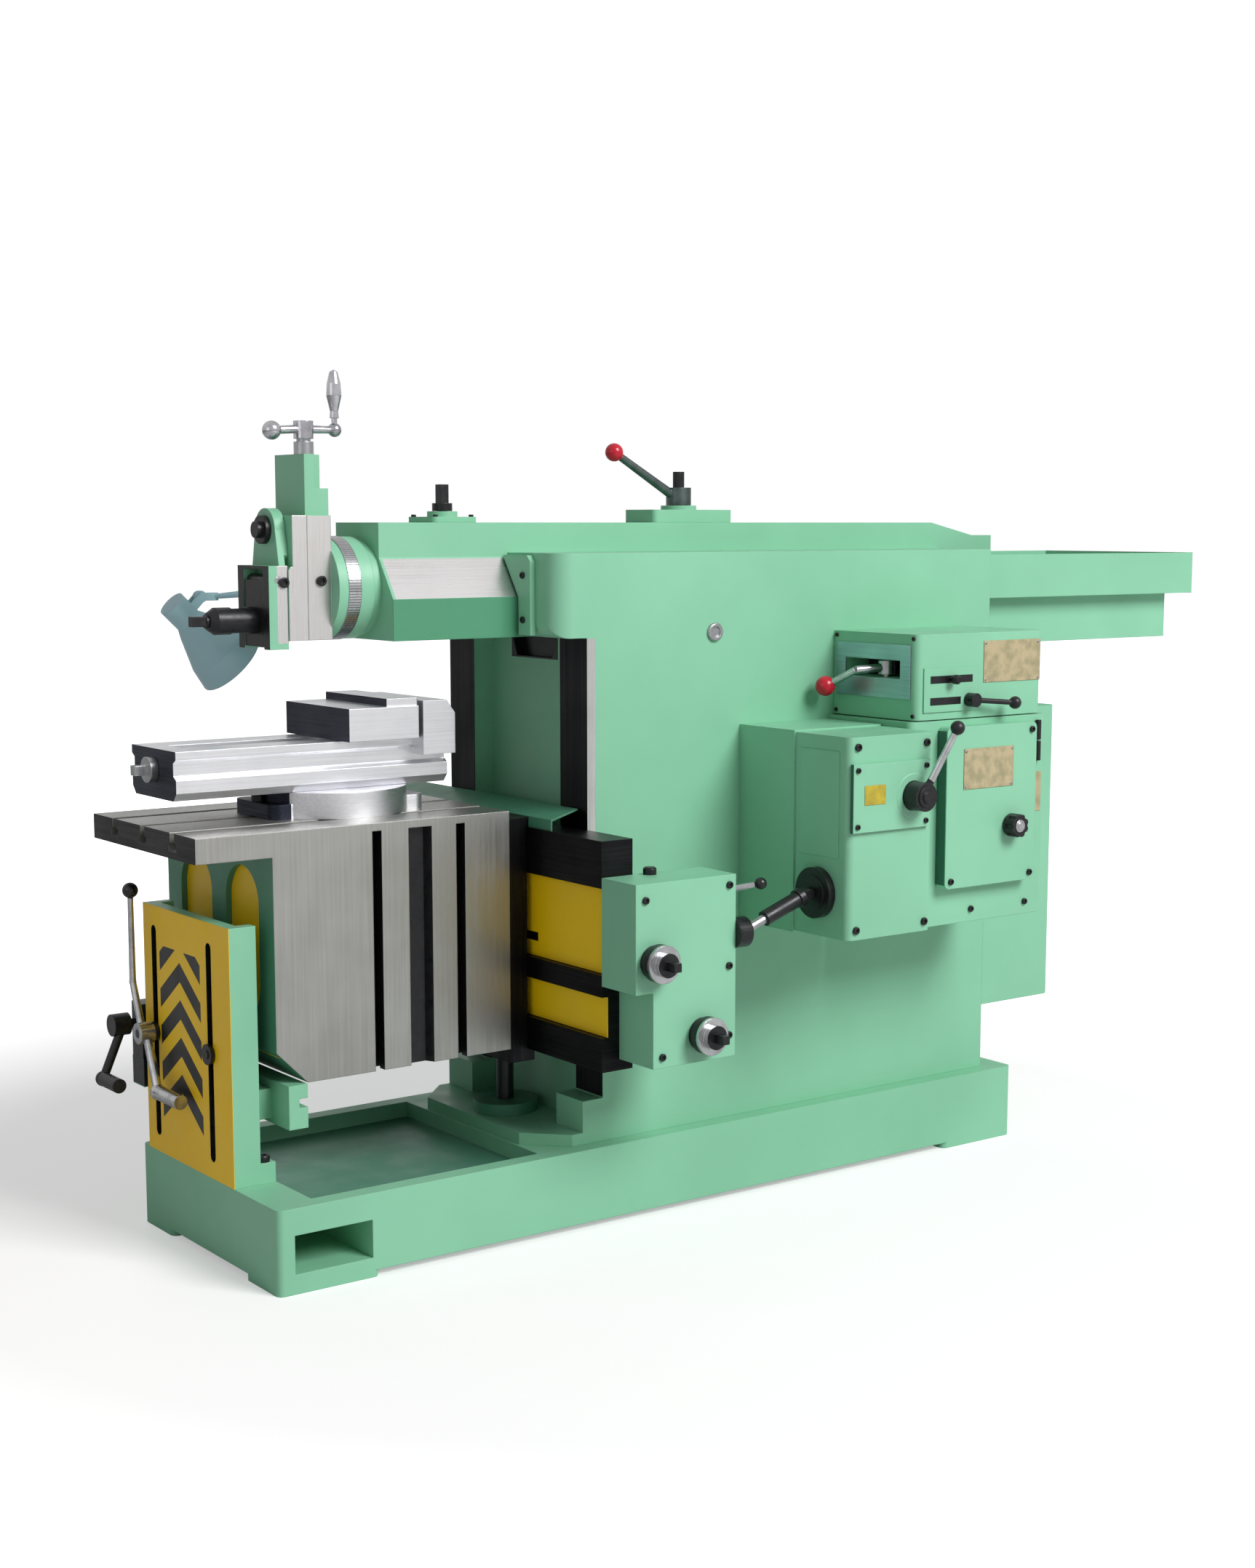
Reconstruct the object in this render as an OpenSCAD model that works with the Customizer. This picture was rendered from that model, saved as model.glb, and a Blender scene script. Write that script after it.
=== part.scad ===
// Metal shaper with ram, swivelling tool head, cross rail, box table and machine vise.
// X runs along the ram with the tool head at -X, the operator stands at -Y, Z is up.
// The origin is the centre of the base on the floor. All sizes are millimetres.

/* [Base] */
// length of the base casting
base_l = 1690; // [1640:10:1760]
// width of the base casting
base_w = 520; // [490:5:580]
// height of the base casting
base_h = 146; // [136:2:156]
// depth of the chip tray in front of the column
tray_depth = 30; // [20:1:36]
// height of the corner feet
foot_h = 12; // [8:1:16]

/* [Column] */
// distance from the base centre forward to the nose of the column
column_front = 266; // [258:1:276]
// distance from the base centre back to the rear face of the column
column_rear = 788; // [760:2:810]
// width of the column
column_w = 454; // [440:2:480]
// height of the top face of the column above the floor
column_top = 1205; // [1195:5:1240]
// how far the vertical ways stand behind the nose
ways_setback = 64; // [58:1:70]
// width of each vertical way
way_w = 84; // [70:1:96]
// height of the nose under the top face
nose_h = 148; // [140:2:156]

/* [Ram] */
// length of the ram
ram_l = 1472; // [1440:4:1500]
// distance from the base centre forward to the front end of the ram
ram_front = 530; // [520:2:540]
// width of the ram across its top
ram_top_w = 148; // [136:2:156]
// width of the ram across its dovetail
ram_w = 242; // [236:2:248]
// height of the whole ram
ram_h = 201; // [196:1:204]
// height of the ram above the top face of the column
ram_rise = 53; // [46:1:60]
// height of the sloping dovetail faces
dovetail_h = 70; // [64:1:76]
// thickness of the ram walls
ram_wall = 36; // [30:1:40]

/* [Quick return] */
// height of the rocker pivot above the floor
rocker_z = 235; // [225:1:245]
// height of the bull gear axis above the rocker pivot
crank_rise = 365; // [358:1:372]
// radius of the crank pin circle
crank_r = 125; // [110:1:135]
// distance from the base centre back to the rocker pivot
rocker_x = 265; // [255:1:275]
// how far the ram stands behind its middle position
ram_offset = 80; // [60:2:100]
// tooth size of the bull gear
gear_module = 8; // [7:0.5:8]

/* [Rail and table] */
// thickness of the cross rail in front of the ways
rail_t = 66; // [60:1:72]
// height of the underside of the rail above the floor
rail_bottom = 313; // [308:1:330]
// height of the cross rail
rail_h = 405; // [390:1:412]
// length of the cross rail
rail_l = 960; // [900:10:1000]
// distance from the centre line to the near end of the rail
rail_near = 362; // [350:2:372]
// length of the table top
table_l = 608; // [590:2:630]
// width of the table top
table_w = 406; // [396:2:420]
// height of the table top above the floor
table_top = 750; // [746:1:756]
// thickness of the table top
table_top_t = 43; // [40:1:48]
// how far the table stands towards the far side
table_shift = 71; // [50:1:90]
// thickness of the saddle plate
saddle_t = 37; // [34:1:42]
// width of the slot necks in the table
slot_neck = 18; // [14:1:20]

/* [Tool head] */
// radius of the swivel flange
swivel_r = 88; // [80:1:90]
// width of the tool head
head_w = 118; // [112:2:126]
// height of the tool head body
head_h = 210; // [204:2:220]
// width of the clapper box
clapper_box_w = 112; // [104:2:118]
// diameter of the tool post body
post_d = 46; // [40:1:50]

/* [Vise] */
// length of the vise bed
vise_l = 528; // [510:2:540]
// width of the vise bed
vise_w = 172; // [160:2:184]
// width of the vise jaws
jaw_w = 230; // [220:2:240]
// opening between the jaws
jaw_gap = 9; // [6:1:20]
// radius of the round swivel base
vise_base_r = 136; // [130:1:142]

/* [Boxes] */
// height of the gearbox
gearbox_h = 368; // [350:2:372]
// how far the gearbox stands out from the column
gearbox_out = 301; // [290:1:310]
// how far the control box and drive box stand out from the column
box_out = 226; // [216:1:236]
// depth of the feed box beyond the end of the rail
feed_box_d = 98; // [90:1:106]
// length of the motor cover behind the column
motor_cover_l = 201; // [180:1:220]

/* [Hidden] */
$fn = 48;

// colours by what each piece is made of
paint = [0.42, 0.68, 0.54];
dark_paint = [0.24, 0.45, 0.36];
steel = [0.74, 0.75, 0.77];
iron = [0.30, 0.30, 0.32];
black = [0.10, 0.10, 0.11];
yellow = [0.80, 0.66, 0.06];
bronze = [0.72, 0.55, 0.28];
red = [0.80, 0.10, 0.12];
lamp_blue = [0.56, 0.68, 0.72];

// clearances shared by the fits
run_gap = 0.05;
slide_gap = 0.4;
cut = 1;

// levels and lines that many pieces share
side = column_w / 2;
nose_x = -column_front;
ways_x = nose_x + ways_setback;
way_in = side - way_w;
ram_top = column_top + ram_rise;
ram_bottom = ram_top - ram_h;
dovetail_top = column_top - 7;
dovetail_bottom = dovetail_top - dovetail_h;
head_z = ram_bottom + 89;
rail_front = ways_x - rail_t;
rail_top = rail_bottom + rail_h;
saddle_front = rail_front - saddle_t;
table_rear = saddle_front;
feed_box_rear = rail_front + 216;
table_front = table_rear - table_l;
table_near = table_shift - table_w / 2;
table_far = table_shift + table_w / 2;
support_x0 = -base_l / 2;
support_clear = 71;

// A profile drawn in X and Z, given thickness from y0 to y1.
module along_y(y0, y1) {
    translate([0, y1, 0])
        rotate([90, 0, 0])
            linear_extrude(y1 - y0)
                children();
}

// A profile drawn in Y and Z, given length from x0 to x1.
module along_x(x0, x1) {
    translate([x0, 0, 0])
        rotate([90, 0, 90])
            linear_extrude(x1 - x0)
                children();
}

// A profile drawn in X and Y, given height from z0 to z1.
module along_z(z0, z1) {
    translate([0, 0, z0])
        linear_extrude(z1 - z0)
            children();
}

// A box between two opposite corners.
module block(low, high) {
    translate(low)
        cube(high - low);
}

// Round bars along each axis.
module rod_x(x0, x1, y, z, r) {
    translate([x0, y, z])
        rotate([0, 90, 0])
            cylinder(r = r, h = x1 - x0);
}

module rod_y(y0, y1, x, z, r) {
    translate([x, y1, z])
        rotate([90, 0, 0])
            cylinder(r = r, h = y1 - y0);
}

module rod_z(z0, z1, x, y, r) {
    translate([x, y, z0])
        cylinder(r = r, h = z1 - z0);
}

// A round bar from one point to another, narrowing from r to r_end.
module bar(from, to, r, r_end) {
    span = to - from;
    reach = norm(span);
    translate(from)
        rotate([0, acos(span[2] / reach), atan2(span[1], span[0])])
            cylinder(r1 = r, r2 = r_end, h = reach);
}

// A rectangle with round corners, centred.
module round_rect(l, w, r) {
    square([l - 2 * r, w], center = true);
    square([l, w - 2 * r], center = true);
    for (sx = [-1, 1], sy = [-1, 1])
        translate([sx * (l / 2 - r), sy * (w / 2 - r)])
            circle(r);
}

// A straight slot with round ends, centred, lying along X.
module obround(l, w) {
    square([l - w, w], center = true);
    for (s = [-1, 1])
        translate([s * (l - w) / 2, 0])
            circle(w / 2);
}

// Base casting with feet, chip tray and a lifting tunnel through the front.
tray_rim = 34;
tray_back = nose_x - 46;
tunnel_x = -base_l / 2 + 104;
tunnel_l = 146;
tunnel_z0 = 34;
tunnel_z1 = base_h - tray_depth - 16;

module base() {
    foot_l = 190;
    foot_w = 120;
    color(paint)
        difference() {
            union() {
                along_z(foot_h, base_h)
                    round_rect(base_l, base_w, 12);
                for (sx = [-1, 1], sy = [-1, 1])
                    translate([sx * (base_l - foot_l) / 2, sy * (base_w - foot_w) / 2, 0])
                        along_z(0, foot_h + cut)
                            round_rect(foot_l, foot_w, 12);
                along_z(0, foot_h + cut)
                    round_rect(foot_w, base_w - foot_w, 12);
            }
            block([-base_l / 2 + tray_rim + 46, -base_w / 2 + tray_rim, base_h - tray_depth],
                  [tray_back, base_w / 2 - tray_rim, base_h + cut]);
            block([tunnel_x - tunnel_l / 2, -base_w / 2 - cut, tunnel_z0],
                  [tunnel_x + tunnel_l / 2, base_w / 2 + cut, tunnel_z1]);
        }
}

// Column casting: nose over the ways, channel for the ram, chamber for the rocker.
channel_half = ram_w / 2 + 3;
gib_half = ram_w / 2 + 29;
gib_floor = dovetail_bottom - 4;
chamber_half = 112;
chamber_x0 = rocker_x - 390;
chamber_x1 = rocker_x + 390;
chamber_floor = base_h + 20;
recess_x = ways_x + 42;
skirt_x = nose_x - 40;
skirt_z = base_h + 22;
step_z = base_h + 80;
ways_foot = 290;
drawn_h = 822;
share = (ram_bottom - rocker_z) / drawn_h;
gear_rise = crank_rise * share;
crank_reach = crank_r * share;
tooth = gear_module * share;
gear_z = rocker_z + gear_rise;
gear_teeth = 60;
pinion_teeth = 15;
gear_reach = tooth * gear_teeth / 2;
pinion_reach = tooth * pinion_teeth / 2;
pinion_angle = 45;
pinion_x = rocker_x + (gear_reach + pinion_reach) * cos(pinion_angle);
pinion_z = gear_z + (gear_reach + pinion_reach) * sin(pinion_angle);
stub_r = 44;
pivot_r = 25;
pinion_shaft_r = 22;

module column_outline() {
    nose_round = 26;
    polygon([
        [column_rear, base_h],
        [column_rear, column_top],
        [nose_x, column_top],
        [nose_x, column_top - nose_h + nose_round],
        for (a = [0 : 15 : 90])
            [nose_x + nose_round * (1 - cos(a)), column_top - nose_h + nose_round * (1 - sin(a))],
        [ways_x, column_top - nose_h],
        [ways_x, ways_foot],
        [ways_x + 32, ways_foot],
        [ways_x + 32, step_z],
        [ways_x - 12, step_z],
        [ways_x - 12, skirt_z],
        [skirt_x, skirt_z],
        [skirt_x, base_h]
    ]);
}

module column() {
    corner_r = 38;
    color(paint) {
        // stub that carries the bull gear
        rod_y(-chamber_half - cut, gear_y1, rocker_x, gear_z, stub_r);
        difference() {
            along_y(-side, side)
                column_outline();
            // round the two front corners of the nose
            for (s = [-1, 1])
                difference() {
                    block([nose_x - cut, min(s * (side - corner_r), s * (side + cut)), ways_foot],
                          [nose_x + corner_r, max(s * (side - corner_r), s * (side + cut)), column_top + cut]);
                    rod_z(ways_foot - cut, column_top + 2 * cut, nose_x + corner_r, s * (side - corner_r), corner_r);
                    block([ways_x - cut, -side - 2 * cut, ways_foot - cut],
                          [nose_x + corner_r + cut, side + 2 * cut, column_top - nose_h + cut]);
                }
            // channel for the ram and the seats of its gibs
            block([nose_x - cut, -channel_half, ram_bottom - 3],
                  [column_rear + cut, channel_half, column_top + cut]);
            block([nose_x - cut, -gib_half, gib_floor],
                  [column_rear + cut, gib_half, column_top + cut]);
            // hollow between the vertical ways, with a blind port under the nose
            block([ways_x - 20, -way_in, skirt_z],
                  [recess_x, way_in, column_top - nose_h]);
            for (s = [0, 1])
                mirror([0, s, 0])
                    along_z(base_h - cut, skirt_z + cut)
                        polygon([[skirt_x - cut, side + cut], [skirt_x - cut, side - 70], [skirt_x + 70, side + cut]]);
            along_x(recess_x - cut, recess_x + 18)
                polygon([[-58, column_top - nose_h - 44], [58, column_top - nose_h - 44],
                         [74, column_top - nose_h - 2], [-74, column_top - nose_h - 2]]);
            // chamber for the quick return, open into the ram channel
            block([chamber_x0, -chamber_half, chamber_floor],
                  [chamber_x1, chamber_half, ram_bottom - 40]);
            block([chamber_x0, -70, ram_bottom - 42],
                  [chamber_x1, 70, ram_bottom]);
            // seats of the rocker pivot and the pinion shaft
            rod_y(-chamber_half - 60, chamber_half + 60, rocker_x, rocker_z, pivot_r);
            rod_y(-side - cut, 0, pinion_x, pinion_z, pinion_shaft_r + run_gap);
        }
    }
}

// Fixed shaft the rocker arm swings on, pressed into the column.
module rocker_pivot() {
    color(steel)
        rod_y(-chamber_half - 60, chamber_half + 60, rocker_x, rocker_z, pivot_r);
}

// Two long gibs that hold the dovetail of the ram down.
slope_run = (ram_w - ram_top_w) / 2;

function slope_y(z) = ram_top_w / 2 + slope_run * (dovetail_top - z) / dovetail_h;

module gib_outline() {
    fit = slide_gap * 1.3;
    polygon([
        [gib_half, gib_floor],
        [gib_half, column_top],
        [ram_top_w / 2 + fit, column_top],
        [ram_top_w / 2 + fit, dovetail_top],
        [slope_y(dovetail_bottom) + fit, dovetail_bottom],
        [slope_y(dovetail_bottom) + fit, gib_floor]
    ]);
}

module ram_gibs() {
    color(paint)
        for (s = [0, 1])
            mirror([0, s, 0])
                along_x(nose_x, column_rear)
                    gib_outline();
}

// Wiper plates screwed to the nose over the ends of the gibs.
wiper_t = 12;

module ram_wipers() {
    fit = 1.2;
    color(paint)
        for (s = [0, 1])
            mirror([0, s, 0])
                along_x(nose_x - wiper_t, nose_x)
                    polygon([
                        [gib_half + 12, ram_bottom + 4],
                        [gib_half + 12, column_top - 14],
                        [gib_half + 2, column_top - 4],
                        [ram_top_w / 2 + fit + 3, column_top - 4],
                        [ram_top_w / 2 + fit + 3, dovetail_top],
                        [ram_w / 2 + fit + 3, dovetail_bottom],
                        [ram_w / 2 + fit + 3, ram_bottom + 4]
                    ]);
}

// Sheet-metal guard behind the column: a narrow trough under a wide upper tray.
guard_t = 4;
guard_l = 628;
guard_half = 215;
trough_half = 180;
guard_top = column_top - 11;
guard_mid = column_top - 98;
guard_bottom = column_top - 192;

module rear_guard() {
    trough_l = guard_l - 46;
    gate_half = gib_half - 4;
    color(paint)
        difference() {
            union() {
                block([column_rear, -guard_half, guard_mid], [column_rear + guard_l, guard_half, guard_top]);
                block([column_rear, -trough_half, guard_bottom],
                      [column_rear + trough_l, trough_half, guard_mid + cut]);
            }
            block([column_rear + guard_t, -guard_half + guard_t, guard_mid + guard_t],
                  [column_rear + guard_l - guard_t, guard_half - guard_t, guard_top + cut]);
            block([column_rear + guard_t, -trough_half + guard_t, guard_bottom + guard_t],
                  [column_rear + trough_l - guard_t, trough_half - guard_t, guard_top + cut]);
            // way in for the ram
            block([column_rear - cut, -gate_half, ram_bottom - 14],
                  [column_rear + guard_t + cut, gate_half, guard_top + cut]);
        }
}

// Gearbox on the operator's side, closed by a thick cover.
gearbox_x0 = 144;
gearbox_x1 = 353;
control_z0 = column_top - 308;
gearbox_z0 = control_z0 - 9 - gearbox_h;
gearbox_split = 156;
box_round = 14;

// Outline of a box standing on the column's near side, seen from above.
module side_box(x0, x1, out) {
    translate([(x0 + x1) / 2, -side - out / 2])
        union() {
            round_rect(x1 - x0, out, box_round);
            translate([0, out / 4])
                square([x1 - x0, out / 2], center = true);
        }
}

module gearbox() {
    color(paint)
        along_z(gearbox_z0, gearbox_z0 + gearbox_h)
            translate([(gearbox_x0 + gearbox_x1) / 2, -side - gearbox_split / 2])
                square([gearbox_x1 - gearbox_x0, gearbox_split], center = true);
}

module gearbox_cover() {
    lip = 3;
    color(paint)
        difference() {
            along_z(gearbox_z0 + lip, gearbox_z0 + gearbox_h - lip)
                intersection() {
                    side_box(gearbox_x0 + lip, gearbox_x1 - lip, gearbox_out);
                    translate([gearbox_x0, -side - gearbox_out - cut])
                        square([gearbox_x1 - gearbox_x0, gearbox_out - gearbox_split + cut]);
                }
            rod_x(gearbox_x0 - cut, gearbox_x0 + 46, feed_disc_y, feed_disc_z, feed_hub_r + run_gap);
            rod_y(-side - gearbox_out - cut, -side - gearbox_out + 60, shift_x, shift_z, shift_shaft_r + run_gap);
        }
}

// Speed lever: hub on the gearbox cover with a rising rod and a ball.
shift_x = 293;
shift_z = gearbox_z0 + 254;
shift_shaft_r = 14;
shift_hub_r = 26;

module shift_lever() {
    face_y = -side - gearbox_out;
    knee = [shift_x + 14, face_y - 34, shift_z + 22];
    tip = [shift_x + 58, face_y - 58, shift_z + 122];
    color(black) {
        rod_y(face_y - 4, face_y + 58, shift_x, shift_z, shift_shaft_r);
        rod_y(face_y - 42, face_y - 3, shift_x, shift_z, shift_hub_r);
        bar([shift_x, face_y - 24, shift_z], knee, 9, 8);
        bar(knee, tip, 7, 6);
        translate(tip)
            sphere(13);
    }
}

// Control box high on the column: slotted front for the clutch lever, gate on its side.
control_x0 = 375;
control_x1 = 703;
control_h = 158;
clutch_y = -side - 110;
clutch_z = control_z0 + 92;
clutch_x = control_x0 + 34;
gate_x = control_x0 + 132;
gate_z = control_z0 + 34;
gate_shaft_r = 8;

module control_box() {
    slot_l = 150;
    slot_h = 34;
    color(paint)
        difference() {
            along_z(control_z0, control_z0 + control_h)
                side_box(control_x0, control_x1, box_out);
            along_x(control_x0 - cut, control_x0 + 62)
                translate([clutch_y, clutch_z])
                    square([slot_l, slot_h], center = true);
            rod_z(control_z0 - cut, control_z0 + control_h - 20, clutch_x, clutch_y, 8 + run_gap);
            rod_y(-side - box_out - cut, -side - box_out + 40, gate_x, gate_z, gate_shaft_r + run_gap);
        }
}

// Clutch lever: upright pivot in the box, arm through the slot, red ball outside.
module clutch_lever() {
    knee = [control_x0 - 26, clutch_y + 20, clutch_z - 4];
    tip = [control_x0 - 52, clutch_y + 76, clutch_z - 36];
    color(steel) {
        rod_z(control_z0 + 2, clutch_z + 14, clutch_x, clutch_y, 8);
        rod_z(clutch_z - 13, clutch_z + 13, clutch_x, clutch_y, 17);
        bar([clutch_x - 10, clutch_y, clutch_z], knee, 8, 8);
        bar(knee, tip, 7, 6);
    }
    color(red)
        translate(tip)
            sphere(19);
}

// Small lever at the gate on the side of the control box.
module gate_lever() {
    face_y = -side - box_out;
    tip = [gate_x + 92, face_y - 32, gate_z - 8];
    color(black) {
        rod_y(face_y - 20, face_y + 38, gate_x, gate_z, gate_shaft_r);
        rod_y(face_y - 24, face_y - 3, gate_x, gate_z, 13);
        bar([gate_x, face_y - 14, gate_z], tip, 5, 5);
        translate(tip)
            sphere(12);
    }
}

// Drive box under the control box with a raised cover and a round knob.
drive_x0 = gearbox_x1 + 8;
drive_x1 = 718;
drive_z0 = 510;
drive_h = control_z0 - drive_z0 - 2;
door_x0 = 431;
door_x1 = 666;
door_z0 = drive_z0 + 72;
door_z1 = control_z0 - 13;
door_t = 26;
knob_x = 600;
knob_share = 0.361;
knob_z = door_z0 + (door_z1 - door_z0) * knob_share;
knob_shaft_r = 10;

module drive_box() {
    color(paint)
        difference() {
            along_z(drive_z0, drive_z0 + drive_h)
                side_box(drive_x0, drive_x1, box_out);
            rod_y(-side - box_out - cut, -side - box_out + 40, knob_x, knob_z, knob_shaft_r + run_gap);
            rod_y(-side - 60, -side + cut, pinion_x, pinion_z, pinion_shaft_r + run_gap);
        }
}

module drive_cover() {
    color(paint)
        difference() {
            along_y(-side - box_out - door_t, -side - box_out)
                translate([(door_x0 + door_x1) / 2, (door_z0 + door_z1) / 2])
                    round_rect(door_x1 - door_x0, door_z1 - door_z0, 12);
            rod_y(-side - box_out - door_t - cut, -side - box_out + cut, knob_x, knob_z, knob_shaft_r + run_gap);
        }
}

module drive_knob() {
    face_y = -side - box_out - door_t;
    lobes = 8;
    grip_r = 22;
    color(black)
        difference() {
            union() {
                rod_y(face_y - 6, face_y + door_t + 38, knob_x, knob_z, knob_shaft_r);
                rod_y(face_y - 26, face_y - 2, knob_x, knob_z, grip_r);
            }
            for (i = [0 : lobes - 1])
                rod_y(face_y - 27, face_y - 8,
                      knob_x + (grip_r + 3) * cos(i * 360 / lobes),
                      knob_z + (grip_r + 3) * sin(i * 360 / lobes), 6);
        }
}

// Closed cover behind the column over the motor and the belts.
motor_cover_z0 = 276;
guard_clear = 129;
motor_cover_h = guard_bottom - guard_clear - motor_cover_z0;

module motor_cover() {
    cover_w = side + 150;
    color(paint)
        along_z(motor_cover_z0, motor_cover_z0 + motor_cover_h)
            translate([column_rear + motor_cover_l / 2, 150 - cover_w / 2])
                union() {
                    round_rect(motor_cover_l, cover_w, 20);
                    translate([-motor_cover_l / 4, 0])
                        square([motor_cover_l / 2, cover_w], center = true);
                }
}

// Feed disc on the gearbox front and the telescopic shaft down to the feed box.
feed_disc_y = -side - 222;
feed_disc_z = gearbox_z0 + 82;
feed_hub_r = 15;
feed_disc_r = 46;
feed_drop = 20;
feed_yoke_x = gearbox_x0 - 25.3;
feed_reach = (feed_yoke_x - feed_box_rear - 24) / cos(feed_drop);

module feed_disc() {
    lip = 3;
    color(black) {
        rod_x(gearbox_x0 - 4, gearbox_x0 + 44, feed_disc_y, feed_disc_z, feed_hub_r);
        rod_x(gearbox_x0 - 12, gearbox_x0 + lip - 1, feed_disc_y, feed_disc_z, feed_disc_r);
        rod_x(gearbox_x0 - 15, gearbox_x0 - 11, feed_disc_y, feed_disc_z, feed_disc_r - 14);
    }
}

// Places a piece drawn along -X from the yoke on the line of the feed shaft.
module on_feed_line() {
    translate([feed_yoke_x, feed_disc_y, feed_disc_z])
        rotate([0, -feed_drop, 0])
            children();
}

module feed_shaft_outer() {
    color(black)
        on_feed_line()
            difference() {
                union() {
                    rod_x(-104, -14, 0, 0, 14);
                    rod_y(-12, 12, 0, 0, 10);
                    rod_x(-20, 0, 0, 0, 8);
                    rod_x(-24, -12, 0, 0, 17);
                }
                rod_x(-105, -30, 0, 0, 9 + run_gap);
            }
}

module feed_shaft_inner() {
    color(steel)
        on_feed_line() {
            rod_x(-feed_reach + 14, -60, 0, 0, 9);
            rod_x(-feed_reach, -feed_reach + 16, 0, 0, 13);
        }
}

// Quick return: pinion, bull gear with crank pin, block and rocker arm.
gear_y0 = -102;
gear_y1 = -52;

// Outline of a spur gear with straight-sided teeth, tooth 0 on the X axis.
module gear_outline(teeth) {
    pitch_r = tooth * teeth / 2;
    tip_r = pitch_r + 0.8 * tooth;
    root_r = pitch_r - 1.1 * tooth;
    step = 360 / teeth;
    polygon([
        for (i = [0 : teeth - 1], p = [[root_r, -0.32], [tip_r, -0.13], [tip_r, 0.13], [root_r, 0.32]])
            [p[0] * cos((i + p[1]) * step), p[0] * sin((i + p[1]) * step)]
    ]);
}

module pinion() {
    color(steel)
        union() {
            along_y(gear_y0, gear_y1)
                translate([pinion_x, pinion_z])
                    rotate(pinion_angle + 180 + 180 / pinion_teeth)
                        gear_outline(pinion_teeth);
            rod_y(-side - 58, gear_y1 + 8, pinion_x, pinion_z, pinion_shaft_r);
        }
}

ram_pin_r = 22;
ram_pin_z = ram_bottom + 43;
rocker_h = ram_pin_z - rocker_z;
rocker_tilt = atan(ram_offset / rocker_h);
crank_angle = acos(gear_rise * sin(rocker_tilt) / crank_reach) - rocker_tilt;
block_at = gear_rise * cos(rocker_tilt) + crank_reach * sin(crank_angle + rocker_tilt);
block_half = 34;

module bull_gear() {
    holes = 6;
    hole_circle = 175 * share;
    hole_r = 34 * share;
    color(iron)
        difference() {
            union() {
                along_y(gear_y0, gear_y1)
                    translate([rocker_x, gear_z])
                        rotate(pinion_angle)
                            gear_outline(gear_teeth);
                rod_y(gear_y0 - 6, gear_y1, rocker_x, gear_z, stub_r + 26);
                rod_y(gear_y1 - cut, -22, rocker_x + crank_reach * cos(crank_angle),
                      gear_z + crank_reach * sin(crank_angle), 20);
            }
            rod_y(gear_y0 - 7, gear_y1 + cut, rocker_x, gear_z, stub_r + run_gap);
            for (i = [0 : holes - 1])
                rod_y(gear_y0 - cut, gear_y1 + cut,
                      rocker_x + hole_circle * cos(crank_angle + (i + 0.5) * 360 / holes),
                      gear_z + hole_circle * sin(crank_angle + (i + 0.5) * 360 / holes), hole_r);
        }
}

// Places a profile drawn up from the rocker pivot on the leaning arm.
module on_rocker() {
    translate([rocker_x, 0, rocker_z])
        rotate([0, rocker_tilt, 0])
            children();
}

arm_half = 20;
fork_gap = 7;

module rocker_arm() {
    slot_top = gear_rise + crank_reach + 70;
    slot_low = gear_rise - crank_reach - 90;
    fork_low = rocker_h - 46;
    fork_top = rocker_h + 84;
    color(iron)
        on_rocker()
            difference() {
                union() {
                    along_y(-arm_half, arm_half) {
                        circle(62);
                        polygon([[-58, 0], [-70, slot_low], [-64, slot_top], [-46, slot_top + 70], [-46, fork_top],
                                 [46, fork_top], [46, slot_top + 70], [64, slot_top], [70, slot_low], [58, 0]]);
                    }
                    rod_y(-48, 48, 0, 0, 54);
                }
                rod_y(-49, 49, 0, 0, pivot_r + run_gap);
                block([-block_half - slide_gap, -arm_half - cut, slot_low],
                      [block_half + slide_gap, arm_half + cut, slot_top]);
                block([-ram_pin_r - fork_gap, -arm_half - cut, fork_low],
                      [ram_pin_r + fork_gap, arm_half + cut, fork_top + cut]);
            }
}

module slide_block() {
    bush_r = 21;
    color(bronze)
        on_rocker()
            difference() {
                block([-block_half, -arm_half, block_at - 42], [block_half, arm_half, block_at + 42]);
                rod_y(-arm_half - cut, arm_half + cut, 0, block_at, bush_r);
            }
}

// Ram: hollow dovetail bar with a round front boss, a sloped tail and the rocker pin.
ram_x0 = -ram_front;
ram_x1 = ram_x0 + ram_l;
boss_t = 16;
boss_r = swivel_r - 4;
top_web = 30;

module ram_outline() {
    half = ram_w / 2;
    polygon([
        [-half, ram_bottom], [-half, dovetail_bottom], [-ram_top_w / 2, dovetail_top],
        [-ram_top_w / 2, ram_top], [ram_top_w / 2, ram_top], [ram_top_w / 2, dovetail_top],
        [half, dovetail_bottom], [half, ram_bottom]
    ]);
}

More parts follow.
